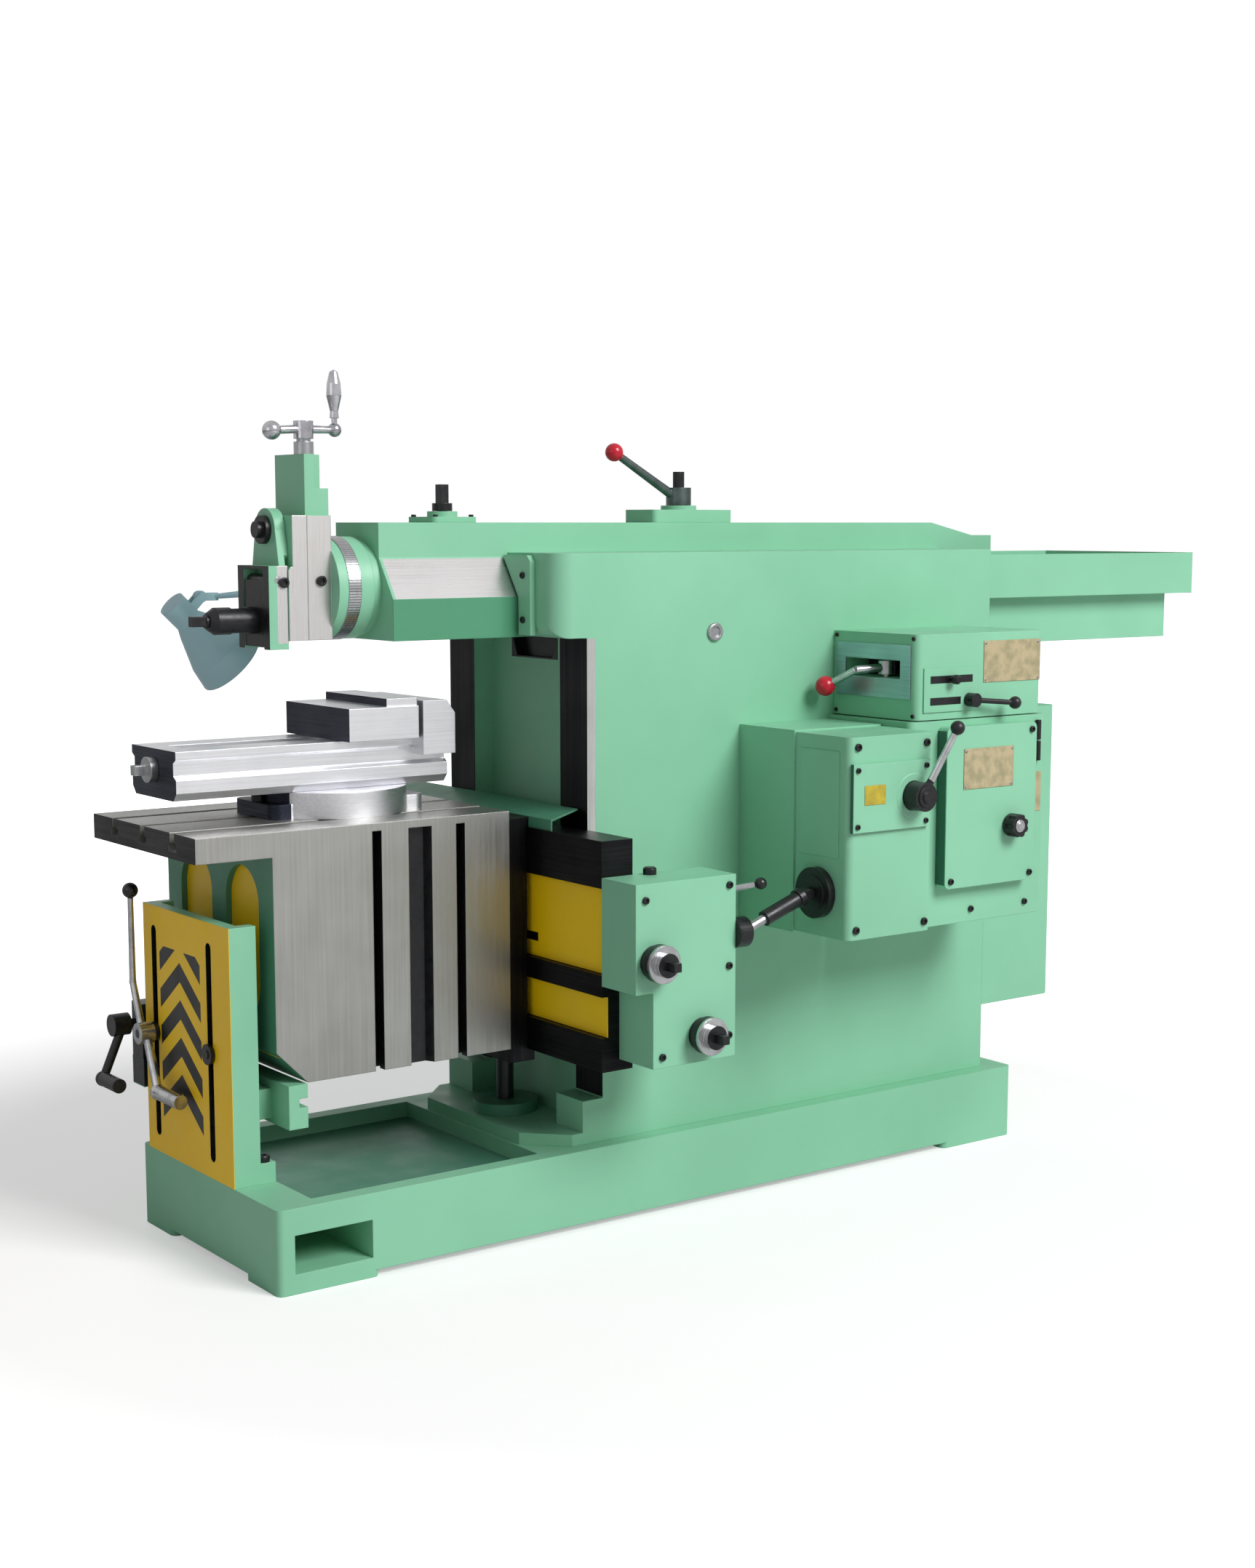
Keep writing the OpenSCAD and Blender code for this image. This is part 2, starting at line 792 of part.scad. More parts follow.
module ram() {
    hollow = ram_w / 2 - ram_wall;
    web = 60;
    color(paint)
        difference() {
            union() {
                difference() {
                    along_x(ram_x0, ram_x1)
                        ram_outline();
                    // hollow under the top web, narrower inside the upper band
                    block([ram_x0 + web, -hollow, ram_bottom - cut], [ram_x1 - web, hollow, dovetail_bottom]);
                    block([ram_x0 + web, -ram_top_w / 2 + 20, dovetail_bottom - cut],
                          [ram_x1 - web, ram_top_w / 2 - 20, ram_top - top_web]);
                    // sloped tail
                    along_y(-ram_w, ram_w)
                        polygon([[ram_x1 - 172, ram_top], [ram_x1 - 56, ram_top - 26],
                                 [ram_x1 + cut, ram_top - 26], [ram_x1 + cut, ram_top + cut]]);
                }
                rod_x(ram_x0 - boss_t, ram_x0 + cut, 0, head_z, boss_r);
                rod_y(-hollow - cut, hollow + cut, rocker_x + ram_offset, ram_pin_z, ram_pin_r);
            }
            // trunnion of the tool head and its clamp
            rod_x(ram_x0 - boss_t - cut, ram_x0 + web - 10, 0, head_z, 30 + run_gap);
            // well of the position shaft and the slot for the clamp stud
            rod_z(ram_top - top_web - cut, ram_top + cut, position_x, 0, position_r + run_gap);
            along_z(ram_top - top_web - cut, ram_top + cut)
                translate([clamp_x, 0])
                    obround(120, 30);
        }
}

// Square-ended shaft on the ram top that shifts the ram's position.
position_x = -356;
position_r = 9;

module ram_position_shaft() {
    square_w = 17;
    collar_z = ram_top + 20;
    color(black) {
        rod_z(ram_top - top_web, collar_z + cut, position_x, 0, position_r);
        rod_z(collar_z, collar_z + 14, position_x, 0, 18);
        translate([position_x - square_w / 2, -square_w / 2, collar_z + 13])
            cube([square_w, square_w, 34]);
    }
}

module position_plate() {
    plate = 92;
    color(paint)
        difference() {
            union() {
                along_z(ram_top, ram_top + 10)
                    translate([position_x, 0])
                        round_rect(plate, plate, 10);
                rod_z(ram_top + 9, ram_top + 20 - slide_gap, position_x, 0, 27);
            }
            rod_z(ram_top - cut, ram_top + 21, position_x, 0, position_r + run_gap);
        }
}

// Clamp block and lever that lock the ram on its stroke bracket.
clamp_x = 174;
stud_r = 11;
clamp_h = 24;

module ram_clamp_block() {
    color(dark_paint)
        union() {
            along_z(ram_top, ram_top + clamp_h)
                translate([clamp_x, 0])
                    difference() {
                        round_rect(190, 96, 10);
                        circle(stud_r + 1);
                    }
            along_z(ram_top + clamp_h - cut, ram_top + clamp_h + 8)
                translate([clamp_x, 0])
                    difference() {
                        circle(34);
                        circle(stud_r + 1);
                    }
        }
}

module ram_clamp_stud() {
    color(steel) {
        rod_z(ram_top - top_web - 17, ram_top + 96, clamp_x, 0, stud_r);
        along_z(ram_top - top_web - 18, ram_top - top_web)
            translate([clamp_x, 0])
                square([60, 60], center = true);
    }
}

module ram_clamp_lever() {
    hub_z = ram_top + clamp_h + 8;
    start = [clamp_x - 12, 0, hub_z + 18];
    tip = [clamp_x - 152, 0, hub_z + 98];
    color(steel)
        difference() {
            union() {
                rod_z(hub_z + slide_gap, hub_z + 34, clamp_x, 0, 24);
                bar(start, tip, 9, 7);
            }
            rod_z(hub_z - cut, hub_z + 35, clamp_x, 0, stud_r + run_gap);
        }
    color(red)
        translate(tip)
            sphere(17);
}

// Work lamp on a bent arm fixed to the far side of the ram's front end.
lamp_centre = [ram_x0 - 195, ram_w / 2 + 141, head_z - 64];
lamp_tilt = 46;
lamp_axis = [sin(lamp_tilt), 0, -cos(lamp_tilt)];
lamp_out = [cos(lamp_tilt), 0, sin(lamp_tilt)];
lamp_back = 48;
hinge_along = 32;
hinge_out = 46;
lamp_hinge = lamp_centre + (hinge_along - lamp_back) * lamp_axis + hinge_out * lamp_out;
lamp_eye_half = 6;
lamp_eye_r = 11;
lamp_pin_r = 4;

module lamp_arm() {
    foot = [ram_x0 - 7, ram_w / 2 - 18, ram_bottom + 30];
    elbow = [ram_x0 - 90, ram_w / 2 + 79, head_z - 12];
    neck_l = 34;
    neck_half = lamp_eye_half - 0.5;
    color(lamp_blue)
        difference() {
            union() {
                rod_x(ram_x0 - 14, ram_x0, foot[1], foot[2], 15);
                bar(foot, elbow, 7, 7);
                rod_z(elbow[2] - 9, elbow[2] + 9, elbow[0], elbow[1], 10);
                bar(elbow, lamp_hinge + [neck_l - 6, 0, 0], 7, 4.5);
                block(lamp_hinge - [0, neck_half, 7], lamp_hinge + [neck_l, neck_half, 7]);
                rod_y(lamp_hinge[1] - lamp_eye_half, lamp_hinge[1] + lamp_eye_half,
                      lamp_hinge[0], lamp_hinge[2], lamp_eye_r);
            }
            rod_y(lamp_hinge[1] - 2 * lamp_eye_r, lamp_hinge[1] + 2 * lamp_eye_r,
                  lamp_hinge[0], lamp_hinge[2], lamp_pin_r + run_gap);
        }
}

// Turned shade with two ears and the pin it tips on.
module lamp_shade() {
    wall = 2.5;
    ear_in = lamp_eye_half + slide_gap;
    ear_out = ear_in + 5;
    ear_half = 8;
    color(lamp_blue)
        translate(lamp_centre)
            rotate([0, 180 - lamp_tilt, 0])
                translate([0, 0, -lamp_back]) {
                    rotate_extrude()
                        polygon([
                            [0, 0], [25, 0], [25, 44], [34, 62], [58, 120], [66, 158],
                            [66 - wall, 158], [58 - wall, 120], [34 - wall, 62], [25 - wall, 44], [0, 44]
                        ]);
                    for (s = [0, 1])
                        mirror([0, s, 0]) {
                            block([-hinge_out, ear_in, hinge_along - ear_half],
                                  [-20, ear_out, hinge_along + ear_half]);
                            rod_y(ear_in, ear_out, -hinge_out, hinge_along, ear_half);
                        }
                    rod_y(-ear_out, ear_out, -hinge_out, hinge_along, lamp_pin_r);
                }
}

// Swivelling tool head: flange, guide body and the bearing block of the feed screw.
flange_x = ram_x0 - boss_t - slide_gap;
flange_t = 67;
body_t = 63;
body_x1 = flange_x - flange_t;
body_x0 = body_x1 - body_t;
head_top = head_z - 89 + 3 + head_h;
head_low = head_top - head_h;
screw_x = body_x0 + 46;
screw_r = 12;
bearing_h = 102;
guide_half = 38;

module swivel_head() {
    color(paint)
        difference() {
            union() {
                rod_x(body_x1 - cut, flange_x, 0, head_z, swivel_r);
                rod_x(flange_x - cut, ram_x0 + 48, 0, head_z, 30);
                block([body_x0 + 18, -head_w / 2, head_low], [body_x1, head_w / 2, head_top]);
                along_z(head_low, head_top)
                    polygon([[body_x0, -guide_half], [body_x0, guide_half],
                             [body_x0 + 19, guide_half - 11], [body_x0 + 19, -guide_half + 11]]);
                block([body_x0 + 18, -52, head_top - cut], [body_x1, 52, head_top + 45]);
                block([body_x0 + 18, -52, head_top + 44], [screw_x - 8, 52, head_top + bearing_h]);
                rod_z(head_top + 44, head_top + bearing_h, screw_x, 0, 26);
            }
            block([body_x0 - cut, -24, head_low - cut], [screw_x + 22, 24, head_top - 14]);
            rod_z(head_top - 15, head_top + bearing_h + cut, screw_x, 0, screw_r + run_gap);
        }
}

// Feed screw of the tool slide with the ball crank on top.
module feed_screw() {
    color(steel) {
        rod_z(head_low + 6, head_top + bearing_h + 44, screw_x, 0, screw_r);
        rod_z(head_top + bearing_h + slide_gap, head_top + bearing_h + 22, screw_x, 0, 17);
    }
}

module feed_crank() {
    hub_z = head_top + bearing_h + 43;
    reach = 60;
    color(steel) {
        difference() {
            rod_z(hub_z - 16, hub_z + 14, screw_x, 0, 17);
            rod_z(hub_z - 17, hub_z + 15, screw_x, 0, screw_r);
        }
        bar([screw_x - 14, 0, hub_z], [screw_x - reach, 0, hub_z - 3], 7, 7);
        bar([screw_x + 14, 0, hub_z], [screw_x + reach, 0, hub_z], 7, 6);
        translate([screw_x - reach, 0, hub_z - 3])
            sphere(16);
        translate([screw_x + reach, 0, hub_z])
            sphere(12);
        rod_z(hub_z, hub_z + 36, screw_x + reach, 0, 5);
        translate([screw_x + reach, 0, hub_z + 20])
            rotate_extrude()
                polygon([[0, 0], [8, 0], [7, 12], [13, 38], [12, 58], [7, 78], [0, 82]]);
    }
}

// Tool slide on the guide of the head, with a nut lug and a face for the clapper box.
slide_x1 = body_x0 + 18 - slide_gap;
slide_x0 = slide_x1 - 28;
apron_x0 = slide_x0 - 8;
apron_top = head_low + 124;
clapper_pivot_z = head_low + 186;
bolt_r = 9;
bolt_seat = 8;

module tool_slide() {
    color(steel)
        difference() {
            union() {
                block([slide_x0, -head_w / 2, head_low], [slide_x1, head_w / 2, head_top]);
                along_y(-head_w / 2, head_w / 2)
                    polygon([[slide_x0 + cut, head_low], [apron_x0, head_low],
                             [apron_x0, apron_top - 6], [apron_x0 + 4, apron_top],
                             [slide_x0 + cut, apron_top]]);
                block([slide_x0 + 4, -16, head_low + 78], [screw_x, 16, head_low + 128]);
                rod_z(head_low + 78, head_low + 128, screw_x, 0, 21);
            }
            // dovetail that runs on the head
            along_z(head_low - cut, head_low + 77)
                slide_dovetail();
            along_z(head_low + 129, head_top + cut)
                slide_dovetail();
            for (s = [0, 1])
                mirror([0, s, 0])
                    along_z(head_low + 76, head_low + 130)
                        intersection() {
                            slide_dovetail();
                            translate([slide_x0 - cut, 16 + slide_gap])
                                square([80, 60]);
                        }
            rod_z(head_low + 77, head_low + 129, screw_x, 0, screw_r + run_gap);
            rod_x(slide_x0 - cut, slide_x0 + bolt_seat, 0, clapper_pivot_z, bolt_r + run_gap);
        }
}

// The space the head's guide takes in the tool slide, with its running gap.
module slide_dovetail() {
    fit = slide_gap * 1.4;
    polygon([[body_x0 - slide_gap, -guide_half - fit], [body_x0 - slide_gap, guide_half + fit],
             [body_x0 + 20, guide_half - 11 + fit], [body_x0 + 20, -guide_half + 11 - fit]]);
}

// Clapper box: tongue with the clamp bolt above, two cheeks around the clapper below.
box_x1 = apron_x0 - slide_gap;
box_t = 36;
cheek = 20;
tongue_t = 20;
box_low = head_low - 14;
box_high = head_low + 126;
back_t = 8;
pin_r = 6;
pin_z = box_high - 24;
pin_x = box_x1 - box_t + 17;
clapper_half = clapper_box_w / 2 - cheek;

module tongue_outline() {
    tongue_r = 36;
    translate([0, clapper_pivot_z])
        circle(tongue_r);
    polygon([[-48, box_high - cut], [-tongue_r, clapper_pivot_z], [tongue_r, clapper_pivot_z], [48, box_high - cut]]);
}

module clapper_box() {
    color(paint)
        difference() {
            union() {
                block([box_x1 - box_t, -clapper_box_w / 2, box_low], [box_x1, clapper_box_w / 2, box_high]);
                along_x(slide_x0 - tongue_t - slide_gap, box_x1)
                    tongue_outline();
                // behind the box the tongue ends in an arc, so that it tilts clear of the apron
                along_x(box_x1 - cut, slide_x0 - slide_gap)
                    intersection() {
                        tongue_outline();
                        translate([0, clapper_pivot_z])
                            circle(clapper_pivot_z - apron_top - slide_gap);
                    }
            }
            block([box_x1 - box_t - cut, -clapper_half, box_low - cut], [box_x1 - back_t, clapper_half, box_high - 6]);
            rod_y(-clapper_box_w / 2 - cut, clapper_box_w / 2 + cut, pin_x, pin_z, pin_r);
            rod_x(slide_x0 - tongue_t - cut, slide_x0 + cut, 0, clapper_pivot_z, bolt_r + run_gap);
        }
}

// Pivot bolt of the clapper box with its round nut.
module clapper_bolt() {
    color(black) {
        rod_x(slide_x0 - 30, slide_x0 + bolt_seat - slide_gap, 0, clapper_pivot_z, bolt_r);
        rod_x(slide_x0 - 30, slide_x0 - tongue_t - slide_gap, 0, clapper_pivot_z, 24);
        rod_x(slide_x0 - 40, slide_x0 - 29, 0, clapper_pivot_z, 14);
    }
}

module clapper_pin() {
    color(steel)
        rod_y(-clapper_box_w / 2, clapper_box_w / 2, pin_x, pin_z, pin_r);
}

// Clapper: the plate that lifts the tool on the return stroke.
clapper_x1 = box_x1 - back_t - slide_gap;
clapper_x0 = clapper_x1 - 26;
post_z = head_low + 34;

module clapper() {
    half = clapper_half - slide_gap;
    color(black)
        difference() {
            union() {
                block([clapper_x0, -half, box_low + 4], [clapper_x1, half, pin_z]);
                rod_y(-half, half, pin_x, pin_z, 10);
            }
            rod_y(-half - cut, half + cut, pin_x, pin_z, pin_r + run_gap);
            rod_x(clapper_x0 - cut, clapper_x1 + cut, 0, post_z, 13);
        }
}

// Tool post: stepped bar with a slot for the tool and a square-headed clamp screw.
module tool_post() {
    body_l = 76;
    slot_x = clapper_x0 - 16;
    square_w = 17;
    screw_end = clapper_x0 - body_l - 42;
    color(black)
        difference() {
            union() {
                rod_x(clapper_x0 - body_l, clapper_x0, 0, post_z, post_d / 2);
                translate([clapper_x0 - body_l, 0, post_z])
                    rotate([0, -90, 0])
                        cylinder(r1 = post_d / 2, r2 = 15, h = 12);
                rod_x(clapper_x0, clapper_x1 - 2, 0, post_z, 13);
            }
            block([slot_x - 32, -11, post_z - post_d], [slot_x, 11, post_z + post_d]);
        }
    color(black) {
        rod_x(screw_end + 25, clapper_x0 - body_l, 0, post_z, 11);
        translate([screw_end, -square_w / 2, post_z - square_w / 2])
            cube([26, square_w, square_w]);
    }
}

// Cross rail: two wide slideways, sunk yellow panels and a bore for the feed screw.
rail_far = rail_l - rail_near;
cross_x = rail_front + 38;
cross_z = rail_bottom + 207;
cross_r = 13;
nut_bore_r = 21;
nut_y = table_shift + 50;
lift_x = ways_x - 30;
lift_r = 16;
sink = 12;

module cross_rail() {
    upper_z0 = rail_bottom + 171;
    upper_z1 = rail_bottom + 323;
    lower_z0 = rail_bottom + 60;
    lower_z1 = rail_bottom + 133;
    color(black)
        difference() {
            union() {
                block([rail_front, -rail_near, rail_bottom], [ways_x - slide_gap, rail_far, rail_top]);
                block([ways_x - 2, -way_in + 3, rail_bottom + 20], [recess_x - 6, way_in - 3, rail_top - 40]);
            }
            block([rail_front - cut, -rail_near - cut, upper_z0], [rail_front + sink, rail_far + cut, upper_z1]);
            block([rail_front - cut, -rail_near - cut, lower_z0], [rail_front + sink, rail_far + cut, lower_z1]);
            // bore of the cross feed screw with the slit its nut runs along
            rod_y(-rail_near - cut, rail_far + cut, cross_x, cross_z, nut_bore_r + slide_gap);
            block([rail_front - cut, nut_y - 270, cross_z - 8], [cross_x, rail_far + cut, cross_z + 8]);
            // bore of the elevating screw
            rod_z(rail_bottom - cut, rail_bottom + 176, lift_x, 0, lift_r + run_gap);
        }
}

// Elevating screw on its foot disc.
lift_foot_h = 22;

module elevating_foot() {
    color(dark_paint)
        difference() {
            rod_z(skirt_z, skirt_z + lift_foot_h, lift_x, 0, 60);
            rod_z(skirt_z + 8, skirt_z + lift_foot_h + cut, lift_x, 0, 14 + run_gap);
        }
}

module elevating_screw() {
    color(iron) {
        rod_z(skirt_z + 9, rail_bottom + 90, lift_x, 0, 14);
        rod_z(skirt_z + lift_foot_h + slide_gap, rail_bottom + 90, lift_x, 0, lift_r);
    }
}

// Feed box on the near end of the rail, with the dials of the two feeds.
feed_box_y = -rail_near - feed_box_d;
feed_box_z0 = rail_bottom + 20;
feed_box_z1 = rail_bottom + 342;
feed_step_z = rail_bottom + 153;
hand_lift_x = rail_front + 142;
hand_lift_z = rail_bottom + 69;
feed_lever_z = rail_bottom + 306;
dial_r = 33;

module feed_box() {
    color(paint)
        difference() {
            along_y(feed_box_y, -rail_near)
                polygon([
                    [rail_front, feed_step_z], [rail_front, feed_box_z1], [feed_box_rear, feed_box_z1],
                    [feed_box_rear, feed_box_z0], [rail_front + 37, feed_box_z0], [rail_front + 37, feed_step_z]
                ]);
            rod_y(feed_box_y - cut, -rail_near + cut, cross_x, cross_z, cross_r + run_gap);
            rod_y(feed_box_y - cut, feed_box_y + 60, hand_lift_x, hand_lift_z, cross_r + run_gap);
            rod_x(feed_box_rear - 40, feed_box_rear + cut, feed_box_y + 44, feed_lever_z, 8 + run_gap);
        }
}

// A graduated dial with a knurled ring and a square shaft end, drawn at a shaft.
module dial(x, z) {
    square_w = 15;
    rod_y(feed_box_y - 14, feed_box_y - slide_gap, x, z, dial_r - 4);
    rod_y(feed_box_y - 32, feed_box_y - 13, x, z, dial_r);
    rod_y(feed_box_y - 44, feed_box_y - 31, x, z, dial_r - 12);
    translate([x - square_w / 2, feed_box_y - 68, z - square_w / 2])
        cube([square_w, 26, square_w]);
}

module cross_screw() {
    color(steel) {
        rod_y(feed_box_y - 20, rail_far - 12, cross_x, cross_z, cross_r);
        dial(cross_x, cross_z);
    }
}

module lift_shaft() {
    color(steel) {
        rod_y(feed_box_y - 20, feed_box_y + 58, hand_lift_x, hand_lift_z, cross_r);
        dial(hand_lift_x, hand_lift_z);
    }
}

// Small lever with a ball behind the feed box that sets the feed direction.
module feed_lever() {
    y = feed_box_y + 44;
    tip = [feed_box_rear + 62, y - 36, feed_lever_z + 12];
    color(steel) {
        rod_x(feed_box_rear - 38, feed_box_rear + 18, y, feed_lever_z, 8);
        rod_x(feed_box_rear + slide_gap, feed_box_rear + 18, y, feed_lever_z, 12);
        bar([feed_box_rear + 12, y, feed_lever_z], tip, 6, 5);
    }
    color(black)
        translate(tip)
            sphere(11);
}

// Bent sheet on the rail that throws chips away from the ways.
module chip_guard() {
    sheet = 3;
    reach = rail_t - 8;
    rise = 36;
    color(dark_paint)
        along_y(-side + 24, rail_far - 120)
            polygon([
                [rail_front + 4, rail_top], [rail_front + 4, rail_top + 20], [rail_front + 4 + reach, rail_top + rise],
                [rail_front + 4 + reach, rail_top + rise - sheet], [rail_front + 4 + sheet, rail_top + 20 - sheet],
                [rail_front + 4 + sheet, rail_top]
            ]);
}

// Saddle: plate in front of the rail with hooks over and under its slideways.
hook_t = 22;
hook_reach = 14;
nut_neck_r = 16;
nut_sink = 14;
nut_half = 40;

module saddle() {
    color(iron)
        difference() {
            union() {
                block([saddle_front, table_near, rail_bottom - hook_t], [rail_front - slide_gap, table_far, rail_top + hook_t - 4]);
                block([saddle_front, table_near, rail_bottom - hook_t],
                      [rail_front + hook_reach, table_far, rail_bottom - slide_gap]);
                block([saddle_front, table_near, rail_top + slide_gap], [rail_front + 3, table_far, rail_top + hook_t - 4]);
            }
            // seat of the feed nut
            rod_x(saddle_front + 6, rail_front, nut_y, cross_z, nut_neck_r);
            block([rail_front - nut_sink, nut_y - nut_half, cross_z - 7],
                  [rail_front, nut_y + nut_half, cross_z + 7]);
        }
}

// Bronze nut on the cross feed screw, held in the saddle by its tongue.
module feed_nut() {
    color(bronze)
        difference() {
            union() {
                rod_y(nut_y - 45, nut_y + 45, cross_x, cross_z, nut_bore_r);
                block([rail_front - nut_sink, nut_y - nut_half, cross_z - 7], [cross_x - 10, nut_y + nut_half, cross_z + 7]);
                rod_x(saddle_front + 6, rail_front - 3, nut_y, cross_z, nut_neck_r);
            }
            rod_y(nut_y - 46, nut_y + 46, cross_x, cross_z, cross_r + run_gap);
        }
}

// Box table: slotted top, machined side slots, painted front with two sunk panels.
body_front = support_x0 + support_clear;
table_bottom = rail_bottom + 4;
top_under = table_top - table_top_t;
slot_pitch = 116;

// A T-slot seen end on, opening upwards at the origin.
module t_slot() {
    neck_h = 18;
    head_wide = slot_neck + 14;
    translate([-slot_neck / 2, -neck_h])
        square([slot_neck, neck_h + cut]);
    translate([-head_wide / 2, -neck_h - 13])
        square([head_wide, 13 + cut / 2]);
}

module table() {
    wall = 34;
    rib_half = 12;
    panel_w = 122;
    slot_end = 14;
    color(iron)
        difference() {
            union() {
                block([table_front, table_near, top_under], [table_rear, table_far, table_top]);
                along_y(table_near, table_far)
                    polygon([
                        [body_front, top_under + cut], [table_rear, top_under + cut], [table_rear, table_bottom],
                        [body_front + 58, table_bottom], [body_front, table_bottom + 58]
                    ]);
            }
            // T-slots along the top
            for (i = [-1 : 1])
                translate([0, table_shift + i * slot_pitch, 0])
                    along_x(table_front - cut, table_rear + cut)
                        translate([0, table_top])
                            t_slot();
            // upright slots in the near side: T-slot, wide groove and T-slot
            for (x = [table_rear - 270, table_rear - 102])
                translate([x, table_near, 0])
                    along_z(table_bottom - cut, table_top - slot_end)
                        rotate(180)
                            t_slot();
            along_z(table_bottom - cut, table_top - slot_end)
                translate([table_rear - 184, table_near])
                    polygon([[-24, -cut], [24, -cut], [15, 17], [-15, 17]]);
            // sunk panels with round ends in the front wall
            for (s = [-1, 1])
                along_x(body_front - cut, body_front + 12)
                    translate([table_shift + s * 88, (table_bottom + top_under) / 2 + 40])
                        rotate(90)
                            obround(260, panel_w);
            // two hollow cells inside, open below
            for (s = [0, 1])
                translate([0, table_shift, 0])
                    mirror([0, s, 0])
                        block([body_front + 70, rib_half, table_bottom - cut],
                              [table_rear - 30, table_w / 2 - wall - 6, top_under - 24]);
        }
}

// Machine vise: round swivel base bolted to the table, bed, jaw and screw.
vise_x = table_front + 360;
vise_y = table_shift;
drawn_room = 307;
vise_k = (ram_bottom - table_top) / drawn_room;
vise_base_h = 46 * vise_k;
vise_z = table_top + vise_base_h + slide_gap;
bed_h = 84 * vise_k;
bed_front = vise_x - 336;
bed_rear = bed_front + vise_l;
bed_top = vise_z + bed_h;
bed_gap = 56;
jaw_h = 58 * vise_k;
fixed_t = 66;
fixed_face = bed_rear - fixed_t;
jaw_rear = fixed_face - jaw_gap;
jaw_l = 140;
jaw_top = bed_top + jaw_h;
vise_screw_r = 14 * vise_k;
vise_screw_z = vise_z + 48 * vise_k;
spigot_r = 40;
spigot_h = 22 * vise_k;
well_h = 24 * vise_k;

module vise_base() {
    lug_l = 2 * vise_base_r + 34;
    lug_h = 26 * vise_k;
    color(iron)
        difference() {
            union() {
                rod_z(table_top, table_top + vise_base_h, vise_x, vise_y, vise_base_r);
                along_z(table_top, table_top + lug_h)
                    translate([vise_x, vise_y])
                        round_rect(lug_l, 150, 20);
                rod_z(table_top + vise_base_h - cut, table_top + vise_base_h + spigot_h, vise_x, vise_y, spigot_r);
            }
            for (s = [-1, 1])
                along_z(table_top - cut, table_top + lug_h + cut)
                    translate([vise_x + s * (vise_base_r + 6), vise_y])
                        circle(9);
        }
}

module vise_body() {
    bed_half = vise_w / 2;
    bed_side = [[bed_half - 12, 0], [bed_half, 14], [bed_half, 36], [bed_half - 10, 42],
                [bed_half - 10, 64], [bed_half, 70], [bed_half, 84]];
    skirt = 30 * vise_k;
    color(steel)
        difference() {
            union() {
                // bed with two ways and a gap between them
                along_x(bed_front, bed_rear)
                    translate([vise_y, 0])
                        polygon([
                            for (p = bed_side)
                                [-p[0], vise_z + p[1] * vise_k],
                            for (i = [len(bed_side) - 1 : -1 : 0])
                                [bed_side[i][0], vise_z + bed_side[i][1] * vise_k]
                        ]);
                // fixed jaw
                along_y(vise_y - jaw_w / 2, vise_y + jaw_w / 2)
                    polygon([[fixed_face, bed_top - skirt], [fixed_face, jaw_top + 8 * vise_k],
                             [bed_rear - 18, jaw_top + 8 * vise_k], [bed_rear, jaw_top - 16 * vise_k],
                             [bed_rear, bed_top - skirt]]);
            }
            // gap between the ways, closed at the front by the screw bearing
            block([bed_front + 40, vise_y - bed_gap / 2, vise_z + well_h],
                  [fixed_face - 4, vise_y + bed_gap / 2, bed_top + cut]);
            rod_x(bed_front - cut, bed_front + 41, vise_y, vise_screw_z, vise_screw_r + run_gap);
            rod_z(vise_z - cut, vise_z + well_h, vise_x, vise_y, spigot_r + run_gap);
        }
}

module vise_jaw() {
    tongue = bed_gap / 2 - slide_gap;
    color(steel)
        difference() {
            union() {
                block([jaw_rear - jaw_l, vise_y - jaw_w / 2, bed_top + slide_gap],
                      [jaw_rear, vise_y + jaw_w / 2, jaw_top]);
                block([jaw_rear - 62, vise_y - jaw_w / 2 + 6, jaw_top - cut],
                      [jaw_rear, vise_y + jaw_w / 2 - 6, jaw_top + 14 * vise_k]);
                block([jaw_rear - jaw_l + 20, vise_y - tongue, vise_z + well_h + 2 * vise_k],
                      [jaw_rear - 30, vise_y + tongue, bed_top + cut]);
            }
            rod_x(jaw_rear - jaw_l, jaw_rear - 29, vise_y, vise_screw_z, vise_screw_r + run_gap);
        }
}

module vise_screw() {
    square_w = 17 * vise_k;
    color(steel) {
        rod_x(bed_front - 10, jaw_rear - 44, vise_y, vise_screw_z, vise_screw_r);
        rod_x(bed_front - 14, bed_front - slide_gap, vise_y, vise_screw_z, 22 * vise_k);
        translate([bed_front - 38, vise_y - square_w / 2, vise_screw_z - square_w / 2])
            cube([26, square_w, square_w]);
    }
}

// Front support: slotted plate bolted to the base under the table's front.
support_t = 24;
support_y0 = -106;
support_y1 = 230;
support_h = 445;
slot_y0 = support_y0 + 78;
slot_y1 = support_y1 - 42;
support_slot_w = 20;

module front_support() {
    edge = 22;
    slot_l = 380;
    foot = 18;
    lug_w = 27;
    color(yellow)
        difference() {
            union() {
                block([support_x0, support_y0, base_h], [support_x0 + support_t, support_y1, base_h + support_h]);
                for (y = [support_y0, support_y1 - edge])
                    block([support_x0 + support_t - cut, y, base_h], [support_x0 + support_t + 26, y + edge, base_h + support_h]);
                // low foot along the plate, with a bolt lug at the near end
                block([support_x0 + support_t - cut, support_y0, base_h],
                      [support_x0 + support_t + 54, support_y1, base_h + foot]);
                block([support_x0 + support_t - cut, support_y0, base_h],
                      [support_x0 + support_t + 54, support_y0 + lug_w, base_h + 2 * foot]);
            }
            for (y = [slot_y0, slot_y1])
                along_x(support_x0 - cut, support_x0 + support_t + cut)
                    translate([y, base_h + 30 + slot_l / 2])
                        rotate(90)
                            obround(slot_l, support_slot_w);
        }
}

// Beam along Y under the table's front, held against the support.
beam_x0 = body_front + 18;
beam_x1 = beam_x0 + 36;
beam_z1 = table_bottom - slide_gap;
beam_z0 = beam_z1 - 76;

